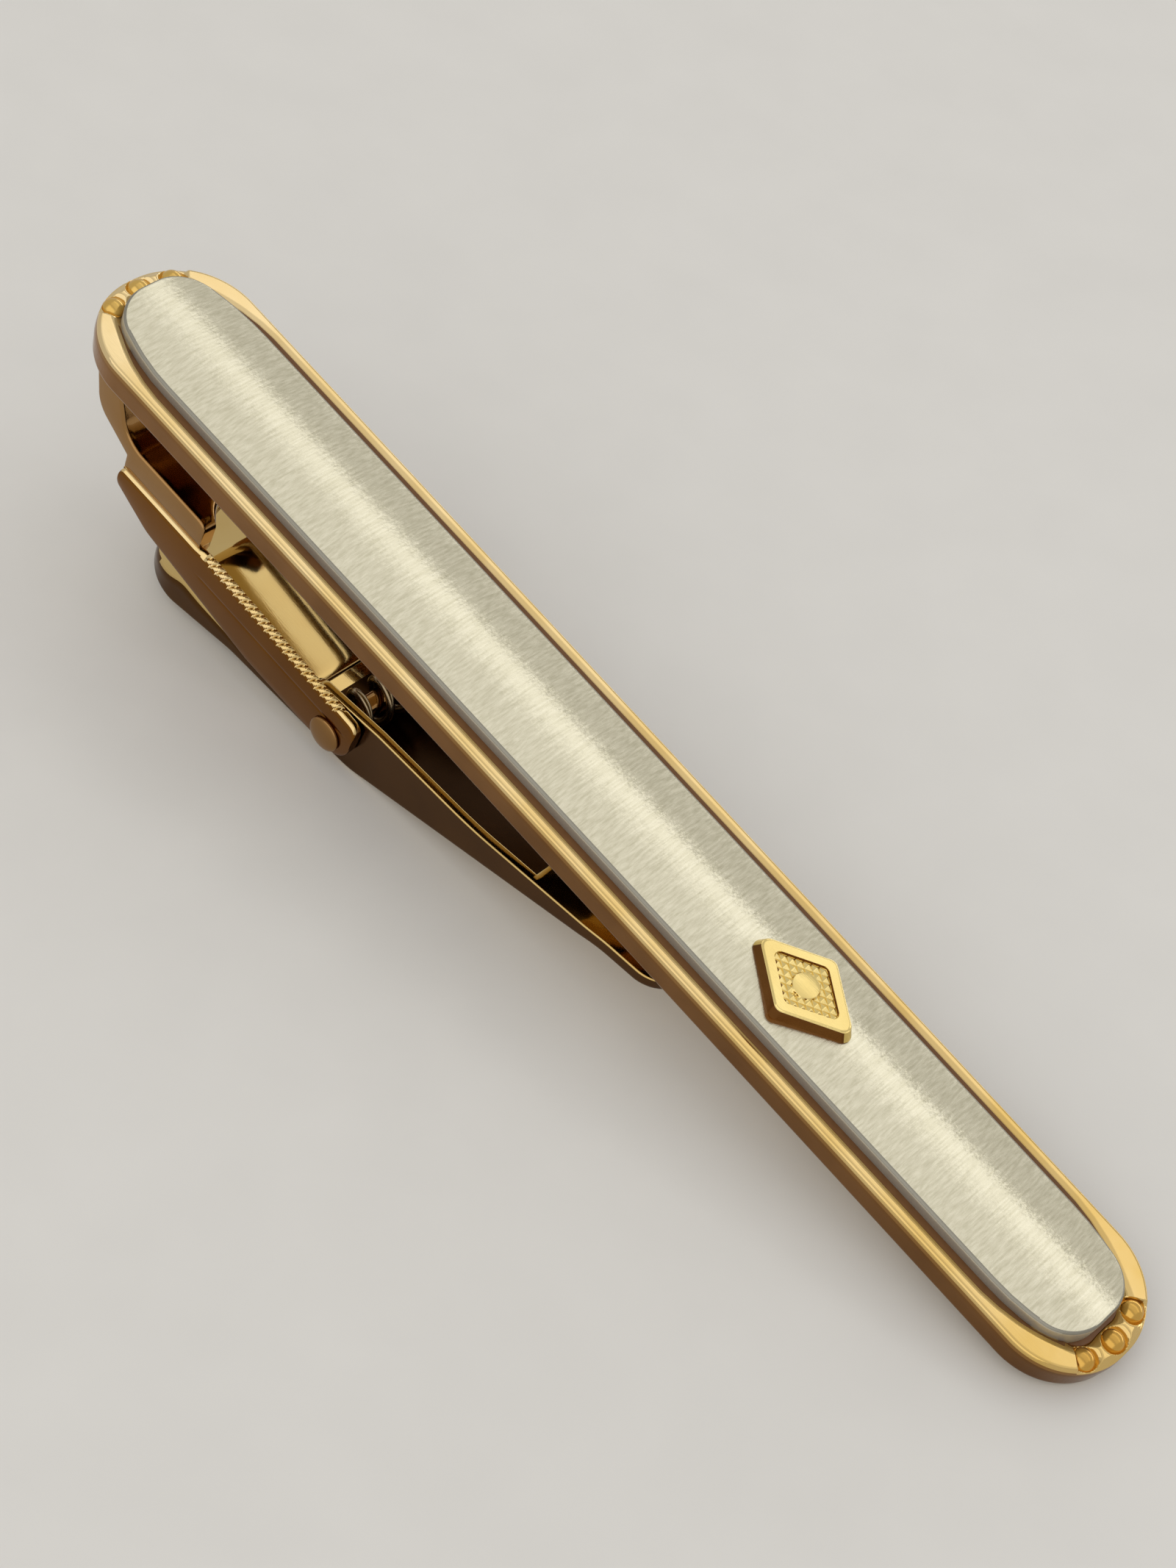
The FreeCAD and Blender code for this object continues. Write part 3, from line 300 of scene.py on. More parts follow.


# Drawn wire is a dull yellowish grey. The film of adhesive is cloudy straw. The panel's rolled edge is
# a darker satin grey, painted shade along it, and its sheared wall paler and duller. A soft brown
# paints the shade in the groove. The board is pale.
STEEL = brushed_steel()
SPRING_STEEL = plain_finish("spring_steel_drawn_wire", "B9A98C", "8C7A5C", 0.3, 0.25, 1.0)
ADHESIVE = plain_finish("epoxy_cured_film", "C8B88E", "A8966A", 0.5, 0.5, 0.0)
STEEL_EDGE_SHADE = plain_finish("stainless_steel_satin_painted_edge_shade", "A09C90", "908C80", 0.05, 0.45, 1.0)
STEEL_WALL = plain_finish("stainless_steel_sheared", "C6C2B6", "B4B0A4", 0.1, 0.45, 0.6)
GROOVE_SHADE = plain_finish("painted_groove_shade_brown", "7A5024", "6A421A", 0.3, 0.4, 0.0)
PALE_FLOOR = plain_finish("painted_board_matt", "E4E2DE", "DEDCD8", 4.0, 0.8, 0.0)
print(len(bpy.data.materials), "finishes in all, the last", PALE_FLOOR.name)

# %% [markdown]
# ## From grids to meshes
# Every piece below is one or more grids of points, and each row of a grid closes on itself as a ring.
# Points that fall together at seams and poles are merged, the faces are turned outwards, and edges
# sharper than a set angle stay crisp. A piece may take further finishes on its steeper faces; most of
# these are darker tones that paint shade and dark reflections there.

# %% Mesh helpers
MERGE_MM = 0.0005
CRISP_ANGLE = math.radians(35)
UPRIGHT = 0.4


def ring_faces(rows, columns):
    """Quads between neighbours of a grid whose last column joins its first."""
    row = columns * np.arange(rows - 1)[:, None]
    column = np.arange(columns)
    ahead = (column + 1) % columns
    corners = [row + column, row + ahead, row + columns + ahead, row + columns + column]
    return np.stack(corners, -1).reshape(-1, 4)


def values_of(items, name, width=3, kind=np.float32):
    """One property of all a mesh's faces, corners or points, as an array with a row for each."""
    flat = np.empty(width * len(items), kind)
    items.foreach_get(name, flat)
    return flat.reshape(-1, width) if width > 1 else flat


def finish_by_rise(mesh, finishes):
    """Gives each further finish to the faces whose normal rises less than its limit from the bar's plane."""
    upright = turn_with_bar([0, 0, 1.0]).astype(np.float32)
    rise = np.abs(values_of(mesh.polygons, "normal") @ upright)
    chosen = np.zeros(rise.size, np.int32)
    for number, (finish, limit) in enumerate(finishes, 1):
        mesh.materials.append(finish)
        chosen[rise < limit] = number
    mesh.polygons.foreach_set("material_index", chosen)


def new_piece(name, grids, material, body, slot, *nodes, finishes=()):
    """One object from grids in bar millimetres, in place of nodes. It rides on a body if one is named."""
    points, faces, count = [], [], 0
    for grid in grids:
        rows, columns = grid.shape[:2]
        points.append(lay_down(grid).reshape(-1, 3))
        faces.append(ring_faces(rows, columns) + count)
        count += rows * columns
    mesh = bpy.data.meshes.new(name)
    mesh.from_pydata(np.concatenate(points).tolist(), [], np.concatenate(faces).tolist())
    work = bmesh.new()
    work.from_mesh(mesh)
    bmesh.ops.remove_doubles(work, verts=work.verts, dist=MERGE_MM * MM)
    bmesh.ops.dissolve_degenerate(work, edges=work.edges, dist=MERGE_MM * MM)
    bmesh.ops.recalc_face_normals(work, faces=work.faces)
    work.to_mesh(mesh)
    work.free()
    mesh.shade_smooth()
    mesh.set_sharp_from_angle(angle=CRISP_ANGLE)
    mesh.materials.append(material)
    finish_by_rise(mesh, finishes)
    piece = add_object(name, mesh)
    if body:
        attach(piece, body)
    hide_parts(*nodes)
    print(name, len(mesh.polygons), "faces")
    return piece


# %% [markdown]
# ## Outlines and the spine
# Seen from above, the frame, the panel and the back share one long rounded form. A spine runs along
# the middle between two hubs. At each station a ray leaves it, straight out along the sides and in a
# fan round the hubs, so that any ring on the bar is only a distance along these rays.

# %% Outline helpers
FINE_STEPS = 40


def round_corners(corners, steps=24):
    """Line through (x, y, radius) corners: each corner becomes the arc that touches both its sides."""
    table = np.array(corners, float)
    point, radius = table[:, :2], table[:, 2]
    back = unit(np.roll(point, 1, 0) - point)
    ahead = unit(np.roll(point, -1, 0) - point)
    half = np.arccos(np.clip((back * ahead).sum(1), -1, 1)) / 2
    centre = point + unit(back + ahead) * (radius / np.sin(half))[:, None]
    arm = point + back * (radius / np.tan(half))[:, None] - centre
    side = np.sign(back[:, 1] * ahead[:, 0] - back[:, 0] * ahead[:, 1])
    angle = (side * (np.pi - 2 * half))[:, None] * np.linspace(0, 1, steps + 1)
    x = centre[:, :1] + arm[:, :1] * np.cos(angle) - arm[:, 1:] * np.sin(angle)
    y = centre[:, 1:] + arm[:, :1] * np.sin(angle) + arm[:, 1:] * np.cos(angle)
    return np.stack([x.ravel(), y.ravel()], -1)


def spaced(line, count):
    """The same line as count points at equal distances along it."""
    way = np.append(0, np.cumsum(np.linalg.norm(np.diff(line, axis=0), axis=1)))
    stops = np.linspace(0, way[-1], count)
    return np.stack([np.interp(stops, way, part) for part in line.T], -1)


def along_line(line, x):
    """Second value of a line at x, as a column."""
    return np.interp(x, line[:, 0], line[:, 1])[:, None]


def runs(*spans):
    """Joins evenly spaced runs of stations, each given as (from, to, count)."""
    return np.concatenate([np.linspace(*span) for span in spans])


def quarter_bend(count):
    """Insets round a quarter circle from its side to its top: 1 - cos and 1 - sin of even angles."""
    angle = np.linspace(0, np.pi / 2, count)
    return 1 - np.cos(angle), 1 - np.sin(angle)


def capped(grid):
    """Closes the first and the last ring of a grid by a point in its middle."""
    ends = np.broadcast_to(grid[[0, -1]].mean(1, keepdims=True), (2, *grid.shape[1:]))
    return np.concatenate([ends[:1], grid, ends[1:]])


def mirrored(lower):
    """Adds the upper half to the lower half of an outline."""
    return lower + [(x, -y, radius) for x, y, radius in reversed(lower)]


def smooth(value):
    """Eases from 0 to 1: 3v2 - 2v3, held outside."""
    held = np.clip(value, 0, 1)
    return held * held * (3 - 2 * held)


# %% The bar's outlines
FOLD_HALF, TIP_HALF = 3.71, 3.5
FOLD_CORNER, TIP_CORNER = 3.5, 3.3
OUTLINE_POINTS = 6000


def half_width(x):
    """Half width of the bar, which tapers evenly to the tip."""
    return FOLD_HALF + (TIP_HALF - FOLD_HALF) * x / BAR_LENGTH


def bar_outline(margin):
    """Rounded outline of the bar, drawn in by a margin."""
    return round_corners(mirrored([
        (margin, margin - FOLD_HALF, FOLD_CORNER - margin),
        (BAR_LENGTH - margin, margin - TIP_HALF, TIP_CORNER - margin),
    ]))


def shouldered_outline(margin, insets, shoulders, end_halves, shoulder_radius, corner):
    """Outline beside the bar's sides that narrows from a shoulder to each end."""
    fold_x, tip_x = shoulders[0], BAR_LENGTH - shoulders[1]
    return round_corners(mirrored([
        (insets[0], -end_halves[0], corner),
        (fold_x, margin - half_width(fold_x), shoulder_radius),
        (tip_x, margin - half_width(tip_x), shoulder_radius),
        (BAR_LENGTH - insets[1], -end_halves[1], corner),
    ]))


# %% The spine's stations
FOLD_HUB, TIP_HUB = 3.7, 54.5
SIDE_STEPS = 60
END_STEPS = 240

side_x = np.linspace(FOLD_HUB, TIP_HUB, SIDE_STEPS)
fan = np.linspace(-np.pi / 2, np.pi / 2, END_STEPS + 1)[1:-1]
hub = np.concatenate([side_x, np.full(fan.size, TIP_HUB), side_x[::-1], np.full(fan.size, FOLD_HUB)])
ray_angle = np.concatenate([
    np.full(SIDE_STEPS, -np.pi / 2), fan, np.full(SIDE_STEPS, np.pi / 2), fan + np.pi,
])
ray_x, ray_y = np.cos(ray_angle).round(12), np.sin(ray_angle)
on_side = ray_x == 0
swing = np.abs(np.arcsin(ray_y))


def reach(outline):
    """Distance along every ray to an outline: by x along the sides, by angle round the hubs."""
    closed = spaced(np.concatenate([outline, outline[:1]]), OUTLINE_POINTS)
    x, y = closed.T
    low = closed[y < 0][np.argsort(x[y < 0])]
    distance = np.interp(hub, low[:, 0], -low[:, 1])
    for centre in (FOLD_HUB, TIP_HUB):
        fanned = ~on_side & (hub == centre)
        angles = np.arctan2(y, x - centre)
        lengths = np.hypot(x - centre, y)
        distance[fanned] = np.interp(ray_angle[fanned], angles, lengths, period=2 * np.pi)
    return distance


def on_bar(distance, height):
    """Grid of points: the distance along each ray from the spine, at a height."""
    return points_of(hub[:, None] + ray_x[:, None] * distance, ray_y[:, None] * distance, height)


outer = reach(bar_outline(0.0))
print(hub.size, "stations, reach", outer.min().round(3), "to", outer.max().round(3))

# %% [markdown]
# ## Frame with its rim
# The front frame is a shallow cast tray. Its flat rim is narrow along the sides, broadens towards
# the ends and stops square where three beads sit in dishes at each end. A profile is carried round the
# bar: outside wall, softened edge, flat rim, inner side that steepens inwards, floor. In the gap at each
# end the rim sinks into the dishes, and what stays between two of them stands as a thin divider that
# slopes away towards the outside.

# %% Frame
FRAME_HEIGHT = 0.7
FOOT_BEVEL_RUN, FOOT_BEVEL_RISE = 0.06, 0.03
RIM_ROUND, RIM_DROP = 0.18, 0.5
RIM_FLAT_INSET, RIM_WALL_TOP = 0.234, -0.55
SHOULDER_RISE, WALL_RISE = 0.3, 0.15
TRAY_DEPTH = 0.42
TRAY_SLOPE_FROM, TRAY_SLOPE_RUN, TRAY_SLOPE_FALL = 0.03, 0.62, 0.38
GAP_HALF_ANGLE = math.radians(39.5)
GAP_EDGE_ANGLE = math.radians(1.8)
DISH_REACH, DISH_WALL, DISH_DEPTH = 0.74, 0.42, 0.34
DIVIDER_DROP = 0.04
SHOULDER_REACH, SHOULDER_DROP = 0.4, 0.2
RIM_ROWS, SLOPE_ROWS = 22, 14
BEAD_RADIUS, BEAD_SINK = 0.5, 0.4
BEAD_SPACING, BEAD_SAG = 1.55, 0.28
BEAD_FOLD_X, BEAD_TIP_X = 0.53, BAR_LENGTH - 0.66

side = np.array([-1.0, 0.0, 1.0])
bead_x = np.concatenate([BEAD_FOLD_X + BEAD_SAG * np.abs(side), BEAD_TIP_X - BEAD_SAG * np.abs(side)])
bead_y = np.tile(BEAD_SPACING * side, 2)

tray = reach(shouldered_outline(
    margin=0.35, insets=(0.5, 0.65), shoulders=(4.0, 3.7), end_halves=(1.8, 1.55),
    shoulder_radius=8.0, corner=1.4,
))
curl, dip = quarter_bend(10)


def rim_profile():
    """Distance and height round the frame's section, one column per station and row."""
    o, t = outer[:, None], tray[:, None]
    across = np.linspace(0, 1, RIM_ROWS)
    flat = (o - RIM_FLAT_INSET) * (1 - across) + (t + TRAY_SLOPE_FROM) * across
    inward = np.linspace(0, 1, SLOPE_ROWS + 1)[1:]
    zero = np.zeros_like(o)
    distance = [
        zero, o - FOOT_BEVEL_RUN, o, o, o - RIM_ROUND * curl, flat,
        t + TRAY_SLOPE_FROM - TRAY_SLOPE_RUN * inward, t - TRAY_SLOPE_RUN, zero,
    ]
    height = [
        [-FRAME_HEIGHT, -FRAME_HEIGHT, FOOT_BEVEL_RISE - FRAME_HEIGHT, RIM_WALL_TOP],
        -RIM_DROP * dip, np.zeros(RIM_ROWS), -TRAY_SLOPE_FALL * inward ** 2, [-TRAY_DEPTH, -TRAY_DEPTH],
    ]
    return np.hstack(distance), np.concatenate(height)


def sink_dishes(points, distance):
    """Lowers the rim in each gap: a dish round every bead and a shoulder at the outer edge, both eased."""
    z = points[..., 2]
    apart = np.hypot(points[..., 0, None] - bead_x, points[..., 1, None] - bead_y).min(-1)
    dish = DISH_DEPTH * smooth((DISH_REACH - apart) / DISH_WALL)
    shoulder = SHOULDER_DROP * smooth((distance - outer[:, None]) / SHOULDER_REACH + 1)
    gap_floor = -DIVIDER_DROP - np.maximum(dish, shoulder)
    cut = smooth((GAP_HALF_ANGLE - swing) / GAP_EDGE_ANGLE)[:, None]
    points[..., 2] = z - cut * np.maximum(z - gap_floor, 0)
    return points


rim_distance, rim_height = rim_profile()
frame_grid = sink_dishes(on_bar(rim_distance, rim_height), rim_distance)
# The rim's shoulders and walls take darker browns, painted shade and dark reflections.
new_piece(
    "rim_frame", [frame_grid.transpose(1, 0, 2)], GILT, "base", "gilt_brass", "front_frame",
    finishes=[(GILT_HALF_SHADE, SHOULDER_RISE), (GILT_WALL_SHADE, WALL_RISE)],
)

# %% [markdown]
# ## Beads
# Each bead is a small ball of metal raised by a beading tool, a little flattened on top by polishing.
# A ball is a half circle carried round an upright axis, and all six are made at once as arrays.

# %% Beads
BEAD_FLATTEN = 0.04
BELT_STEPS, RISE_STEPS = 32, 24
belt = np.linspace(0, 2 * np.pi, BELT_STEPS + 1)[:-1]
rise = np.linspace(-np.pi / 2, np.pi / 2, RISE_STEPS + 1)
crown = BEAD_RADIUS * np.sin(rise) * (1 - BEAD_FLATTEN * smooth(np.sin(rise)))
girth = BEAD_RADIUS * np.cos(rise)[:, None]
ball = points_of(girth * np.cos(belt), girth * np.sin(belt), crown[:, None])
bead_centres = points_of(bead_x, bead_y, -BEAD_SINK)
new_piece(
    "rim_beads", [ball + centre for centre in bead_centres], GILT_BEAD, "base", "gilt_brass", "front_frame"
)

# %% [markdown]
# ## Brushed panel
# The inlay is a steel panel with a gently domed top. Its edge rolls over softly in a darker satin grey,
# painted shade along the edge, above a paler wall. Its rings follow the panel's outline, and the height
# of its top depends only on y, because the dome is part of a long cylinder. A flat map of the top tells
# the shader which way the brushing runs.

# %% Panel
INLAY_BASE = -0.37
INLAY_CROWN_Z = 0.65
DOME_RADIUS = 10.9
PANEL_EDGE, PANEL_FOOT_BEVEL = 0.14, 0.04
PANEL_TOP_INSET, PANEL_WALL_DROP = 0.224, 0.196
PANEL_ROWS = 40
PANEL_TOP_RISE = 0.96

panel = reach(shouldered_outline(
    margin=0.97, insets=(1.0, 1.4), shoulders=(4.1, 4.1), end_halves=(1.95, 1.95),
    shoulder_radius=10.0, corner=1.9,
))


def dome(y):
    """Height of the domed top: a circle's arc across the bar."""
    return INLAY_CROWN_Z - DOME_RADIUS + np.sqrt(DOME_RADIUS ** 2 - y ** 2)


def panel_grid():
    """Rings from the underside's middle, out, up the wall, over the edge and in across the dome."""
    p = panel[:, None]
    zero = np.zeros_like(p)
    turned = p - PANEL_EDGE * curl
    top = (p - PANEL_TOP_INSET) * np.linspace(1, 0, PANEL_ROWS)
    distance = np.hstack([zero, p - PANEL_FOOT_BEVEL, p, p, turned, top])
    drop = np.concatenate([[PANEL_WALL_DROP], PANEL_EDGE * dip, np.zeros(PANEL_ROWS)])
    height = dome(ray_y[:, None] * distance)
    height[:, 3:] -= drop
    height[:, :3] = [INLAY_BASE, INLAY_BASE, INLAY_BASE + PANEL_FOOT_BEVEL]
    return on_bar(distance, height)


# The rolled edge is a darker satin grey, painted shade along it; the wall is paler and duller.
panel_piece = new_piece(
    "brushed_panel", [panel_grid().transpose(1, 0, 2)], STEEL, "base", "brushed_steel", "steel_inlay",
    finishes=[(STEEL_EDGE_SHADE, PANEL_TOP_RISE), (STEEL_WALL, UPRIGHT)],
)


def map_from_above(piece):
    """Flat map: u runs along the bar and v across it, both in bar lengths."""
    mesh = piece.data
    corner = values_of(mesh.loops, "vertex_index", 1, np.int32)
    flat = values_of(mesh.vertices, "co")[corner, :2] / (BAR_LENGTH * MM) + 0.5
    layer = mesh.uv_layers.new(name=UV_NAME)
    layer.data.foreach_set("uv", flat.ravel())
    print(piece.name, "mapped from above")


map_from_above(panel_piece)

# %% [markdown]
# ## Painted shade in the groove
# A brown fill between rim and panel paints the shade in the groove. A small section, thick against the
# panel and thin on the rim's inner side, is carried round the bar.

# %% Groove
GROOVE_SHADE_FROM = 0.4
GROOVE_SHADE_LIP, GROOVE_SHADE_LIP_DIP, GROOVE_SHADE_THICK = 0.06, 0.2, 0.1
UNDER_PANEL = 0.03
GROOVE_SHADE_AT_RIM, GROOVE_SHADE_AT_PANEL, GROOVE_SHADE_IN_GAP = -0.055, -0.2, -0.36
GAP_FADE_ANGLE = math.radians(8)


def groove_shade_grid():
    """Rings of a closed section: along the top from rim to panel, down, and back below."""
    near = (tray + TRAY_SLOPE_FROM - TRAY_SLOPE_RUN * GROOVE_SHADE_FROM)[:, None]
    far = panel[:, None] - UNDER_PANEL
    sunk = smooth((GAP_HALF_ANGLE + GAP_FADE_ANGLE - swing) / GAP_FADE_ANGLE)[:, None]
    at_rim = GROOVE_SHADE_AT_RIM + (GROOVE_SHADE_IN_GAP - GROOVE_SHADE_AT_RIM) * sunk
    at_panel = GROOVE_SHADE_AT_PANEL + (GROOVE_SHADE_IN_GAP - GROOVE_SHADE_AT_PANEL) * sunk
    lip = near - GROOVE_SHADE_LIP
    at_lip = at_rim + GROOVE_SHADE_LIP_DIP * (at_panel - at_rim)
    below = [at_panel - GROOVE_SHADE_THICK, at_rim - GROOVE_SHADE_THICK]
    distance = np.hstack([near, lip, far, far, lip, near])
    return on_bar(distance, np.hstack([at_rim, at_lip, at_panel, *below, at_rim]))


new_piece(
    "groove_painted_shade", [groove_shade_grid().transpose(1, 0, 2)], GROOVE_SHADE, "base", "gilt_brass", "front_frame"
)

# %% [markdown]
# ## Lozenge ornament
# A struck lozenge sits on the panel with polished sloping sides, a raised border and a field of tiny
# pyramids, the hobnail pattern of engine turners, round a domed boss. It is a polar grid: the share
# k of the way out from its centre gives the outline, and the height is a function of place alone.

# %% Ornament
ORNAMENT_X, ORNAMENT_Y = 40.2, -0.25
LOZENGE_HALF_X, LOZENGE_HALF_Y = 3.3, 2.25
ORNAMENT_CORNER = 0.45
ORNAMENT_TOP = 1.2
SLOPE_RUN = math.tan(math.radians(18))
BORDER, BORDER_SOFT, BORDER_DROP = 0.4, 0.03, 0.05
FIELD_DEPTH, FIELD_EDGE = 0.16, 0.02
BOSS_RADIUS, BOSS_EDGE, BOSS_BRIM = 0.62, 0.12, 0.6
HOBNAIL_CELLS, HOBNAIL_RISE = 7, 0.8
SKIRT_SINK = 0.05
ORNAMENT_RAYS = 480

diagonal = math.hypot(LOZENGE_HALF_X, LOZENGE_HALF_Y)
side_distance = LOZENGE_HALF_X * LOZENGE_HALF_Y / diagonal
top_share = 1 - ORNAMENT_TOP * SLOPE_RUN / side_distance
field_share = top_share - BORDER / side_distance
lozenge = round_corners([
    (-LOZENGE_HALF_X, 0, ORNAMENT_CORNER), (0, -LOZENGE_HALF_Y, ORNAMENT_CORNER),
    (LOZENGE_HALF_X, 0, ORNAMENT_CORNER), (0, LOZENGE_HALF_Y, ORNAMENT_CORNER),
])
lozenge = spaced(np.concatenate([lozenge, lozenge[:1]]), ORNAMENT_RAYS + 1)[:-1]


def saw(value):
    """Triangle wave from 0 to 1 with one tooth for each whole number."""
    return 1 - np.abs(2 * (value - np.floor(value)) - 1)


def ornament_height(x, y, share):
    """Sloping side, softened border, field of pyramids and round boss, as one height."""
    slope = (1 - share) * side_distance / SLOPE_RUN
    softened = ORNAMENT_TOP - BORDER_DROP * smooth((share - top_share) / BORDER_SOFT + 1)
    u = x / LOZENGE_HALF_X + y / LOZENGE_HALF_Y
    v = x / LOZENGE_HALF_X - y / LOZENGE_HALF_Y
    cells = HOBNAIL_CELLS / (2 * field_share)
    pyramid = np.minimum(saw(u * cells + 0.5), saw(v * cells + 0.5))
    out = np.hypot(x, y) / BOSS_RADIUS
    boss = BOSS_BRIM + (1 - BOSS_BRIM) * np.sqrt(np.maximum(1 - out ** 2, 0))
    on_boss = smooth((1 - out) / BOSS_EDGE)
    relief = HOBNAIL_RISE * pyramid * (1 - on_boss) + boss * on_boss
    field = ORNAMENT_TOP - FIELD_DEPTH * (1 - relief)
    inside = smooth((field_share - share) / FIELD_EDGE)
    flat = softened * (1 - inside) + field * inside
    return np.minimum(slope, flat)


# Rings lie close together where the border begins and where it ends.
share = runs(
    (0, field_share - 0.03, 90), (field_share - 0.025, field_share + 0.01, 8),
    (top_share - 0.05, top_share + 0.04, 10), (top_share + 0.06, 0.78 + top_share * 0.12, 6),
)[:, None]
ornament_x = share * lozenge[:, 0]
ornament_y = share * lozenge[:, 1]
ornament_z = ornament_height(ornament_x, ornament_y, share)
ornament_top = points_of(ORNAMENT_X + ornament_x, ORNAMENT_Y + ornament_y, ornament_z)
skirt = ornament_top[-1:].copy()
skirt[..., 2] = dome(skirt[..., 1]) - SKIRT_SINK
foot = skirt.copy()
foot[...] = ORNAMENT_X, ORNAMENT_Y, skirt[..., 2].min()
# The ornament's sloping sides take a dark brown, painted shade and dark reflections.
new_piece(
    "lozenge_ornament", [np.concatenate([ornament_top, skirt, foot])],
    GILT_STRUCK, "base", "gilt_brass", "emblem", finishes=[(GILT_SHADE, UPRIGHT)],
)

# %% [markdown]
# ## Back of the bar, folded tail and return leg
# Behind the frame lies a thicker plate whose tail folds round below the bar and comes back as a leg.
# The plate is rings along the spine's rays. The tail is a strip: an outer and an inner rail give its
# two faces, and a rounded section is carried along them. The end of the leg is hollowed by an arch, so
# there the strip's length depends on y.

# %% Back plate
BACK_INSET, BACK_FOOT_BEVEL = 0.06, 0.04
BAR_BACK = -1.5
BACK_ROUND, BACK_FLAT_INSET = 0.25, 0.3
LEG_TOP, LEG_UNDER = -3.8, -5.2
LEG_END = 9.7
LEG_END_ROUND = 0.45
TAIL_HALF = 3.2
TAIL_EDGE = 0.16
RAIL_JOIN_X = 6.5
ARCH_CENTRE, ARCH_RADIUS = 11.2, 2.9
STRIP_FLAT, STRIP_BEND, NOSE_ROWS, RAIL_POINTS = 36, 4, 16, 120

inset_reach = reach(bar_outline(BACK_INSET))[:, None]
middle = np.zeros_like(inset_reach)
back_distance = np.hstack([
    middle, inset_reach - BACK_FOOT_BEVEL, inset_reach, inset_reach,
    inset_reach - BACK_ROUND * curl, inset_reach - BACK_FLAT_INSET, middle,
])
back_height = np.concatenate([
    [-FRAME_HEIGHT, -FRAME_HEIGHT, -FRAME_HEIGHT - BACK_FOOT_BEVEL, BAR_BACK + BACK_FLAT_INSET],
    BAR_BACK + BACK_ROUND * dip, [BAR_BACK, BAR_BACK],
])


def arch_end(y):
    """Where the leg ends at each y: its straight end, or the hollow's circle where that comes first."""
    inside = np.sqrt(np.maximum(ARCH_RADIUS ** 2 - y ** 2, 0))
    return np.minimum(LEG_END, np.where(inside > 0, ARCH_CENTRE - inside, LEG_END))


def strip_section(half, edge):
    """Rounded rectangle as columns: which rail a point is on, its inset from that rail, and its y."""
    curl, dip = quarter_bend(STRIP_BEND + 1)
    run = np.linspace(edge - half, half - edge, STRIP_FLAT)
    y = np.concatenate([run, half - edge * dip[1:], half - edge * curl[:-1]])
    inset = np.concatenate([np.zeros(STRIP_FLAT), edge * curl[1:], edge * dip[:-1]])
    rail = np.repeat([0.0, 1.0], [STRIP_FLAT + STRIP_BEND, STRIP_BEND])
    return np.concatenate([rail, 1 - rail]), np.tile(inset, 2), np.concatenate([y, -y])


def strip(outer_rail, inner_rail, half, edge, end, end_round):
    """Carries the section along two rails in x and z, then on to a round nose whose end varies with y."""
    rail, inset, y = strip_section(half, edge)
    gap = inner_rail - outer_rail
    inset_share = inset / np.linalg.norm(gap, axis=1)[:, None]
    share = np.where(rail == 0, inset_share, 1 - inset_share)
    flat = outer_rail[:, None] + gap[:, None] * share[..., None]
    step = np.sin(np.linspace(0, np.pi / 2, NOSE_ROWS + 1))[1:, None]
    run = end(y) - flat[-1, :, 0]
    nose = np.repeat(flat[-1:], NOSE_ROWS, 0)
    nose[..., 0] += step * run
    turned = np.clip(1 - (1 - step) * run / end_round, 0, 1)
    nose[..., 1] -= rail * end_round * (1 - np.sqrt(1 - turned ** 2))
    flat = np.concatenate([flat, nose])
    middle = flat[-1:].copy()
    middle[..., 1] = (outer_rail[-1, 1] + inner_rail[-1, 1] - end_round) / 2
    first = np.broadcast_to((outer_rail[0] + inner_rail[0]) / 2, flat[:1].shape)
    flat = np.concatenate([first, flat, middle])
    return points_of(flat[..., 0], y, flat[..., 1])


outer_rail = spaced(round_corners([
    (1.99, -1.2, 0), (2.63, -3.44, 1.5), (4.8, -4.53, 0.06), (4.8, LEG_UNDER, 0.04),
    (RAIL_JOIN_X, LEG_UNDER, 0),
]), RAIL_POINTS)
inner_rail = spaced(round_corners([
    (3.42, -1.2, 0), (4.59, LEG_TOP, 1.5), (RAIL_JOIN_X, LEG_TOP, 0),
]), RAIL_POINTS)
tail_grid = strip(outer_rail, inner_rail, TAIL_HALF, TAIL_EDGE, arch_end, LEG_END_ROUND)
back_grid = on_bar(back_distance, back_height).transpose(1, 0, 2)
# The back plate's sides take a dark brown, painted shade and dark reflections.
new_piece(
    "bar_back", [back_grid], GILT_LEVER, "base", "gilt_brass", "back_plate",
    finishes=[(GILT_WALL_SHADE, UPRIGHT)],
)
# The folded tail is a middle brown, painted shade under the bar.
new_piece("folded_tail", [tail_grid], GILT_HALF_SHADE, "base", "gilt_brass", "back_plate")

# %% [markdown]
# ## Hinge bracket
# A pressed channel sits under the leg. Its web follows the leg's arch, and its two ears reach forward
# to the pivot with a knurled row of small slanted teeth along their upper edges, which grip the cloth.
# An ear is a section carried along x between its lower and upper edge: its outside is slightly crowned,
# rolls over softly at the top and carries a fine pressed crease.

# %% Bracket
SHEET = 0.45
EAR_OUT = 3.4
EAR_EDGE, EAR_EDGE_SHARE = 0.07, 0.2
EAR_ROLL, EAR_ROLL_SHARE = 0.3, 0.4
EAR_CROWN = 0.05
BRACKET_START, EAR_END = 4.8, 20.0
EAR_PLAIN = 5.2, 10.2, 26
EAR_START_ROUND, EAR_END_ROUND = 0.3, 1.2
WEB_UNDER, WEB_EDGE = LEG_UNDER - SHEET, 0.02
EAR_CREST_RISE = 0.5
CREASE_Z, CREASE_HALF, CREASE_DEPTH = -6.38, 0.07, 0.02
CREASE_FROM, CREASE_TO, CREASE_FADE = 10.1, 19.6, 0.4
CREASE_ROWS, CREASE_FORM = np.array([[-1.6, -1, -0.4, 0.4, 1, 1.6], [0, 0.15, 1, 1, 0.15, 0]])
TOOTH_PITCH, TOOTH_DEPTH, TOOTH_SLANT = 0.4, 0.18, 0.9
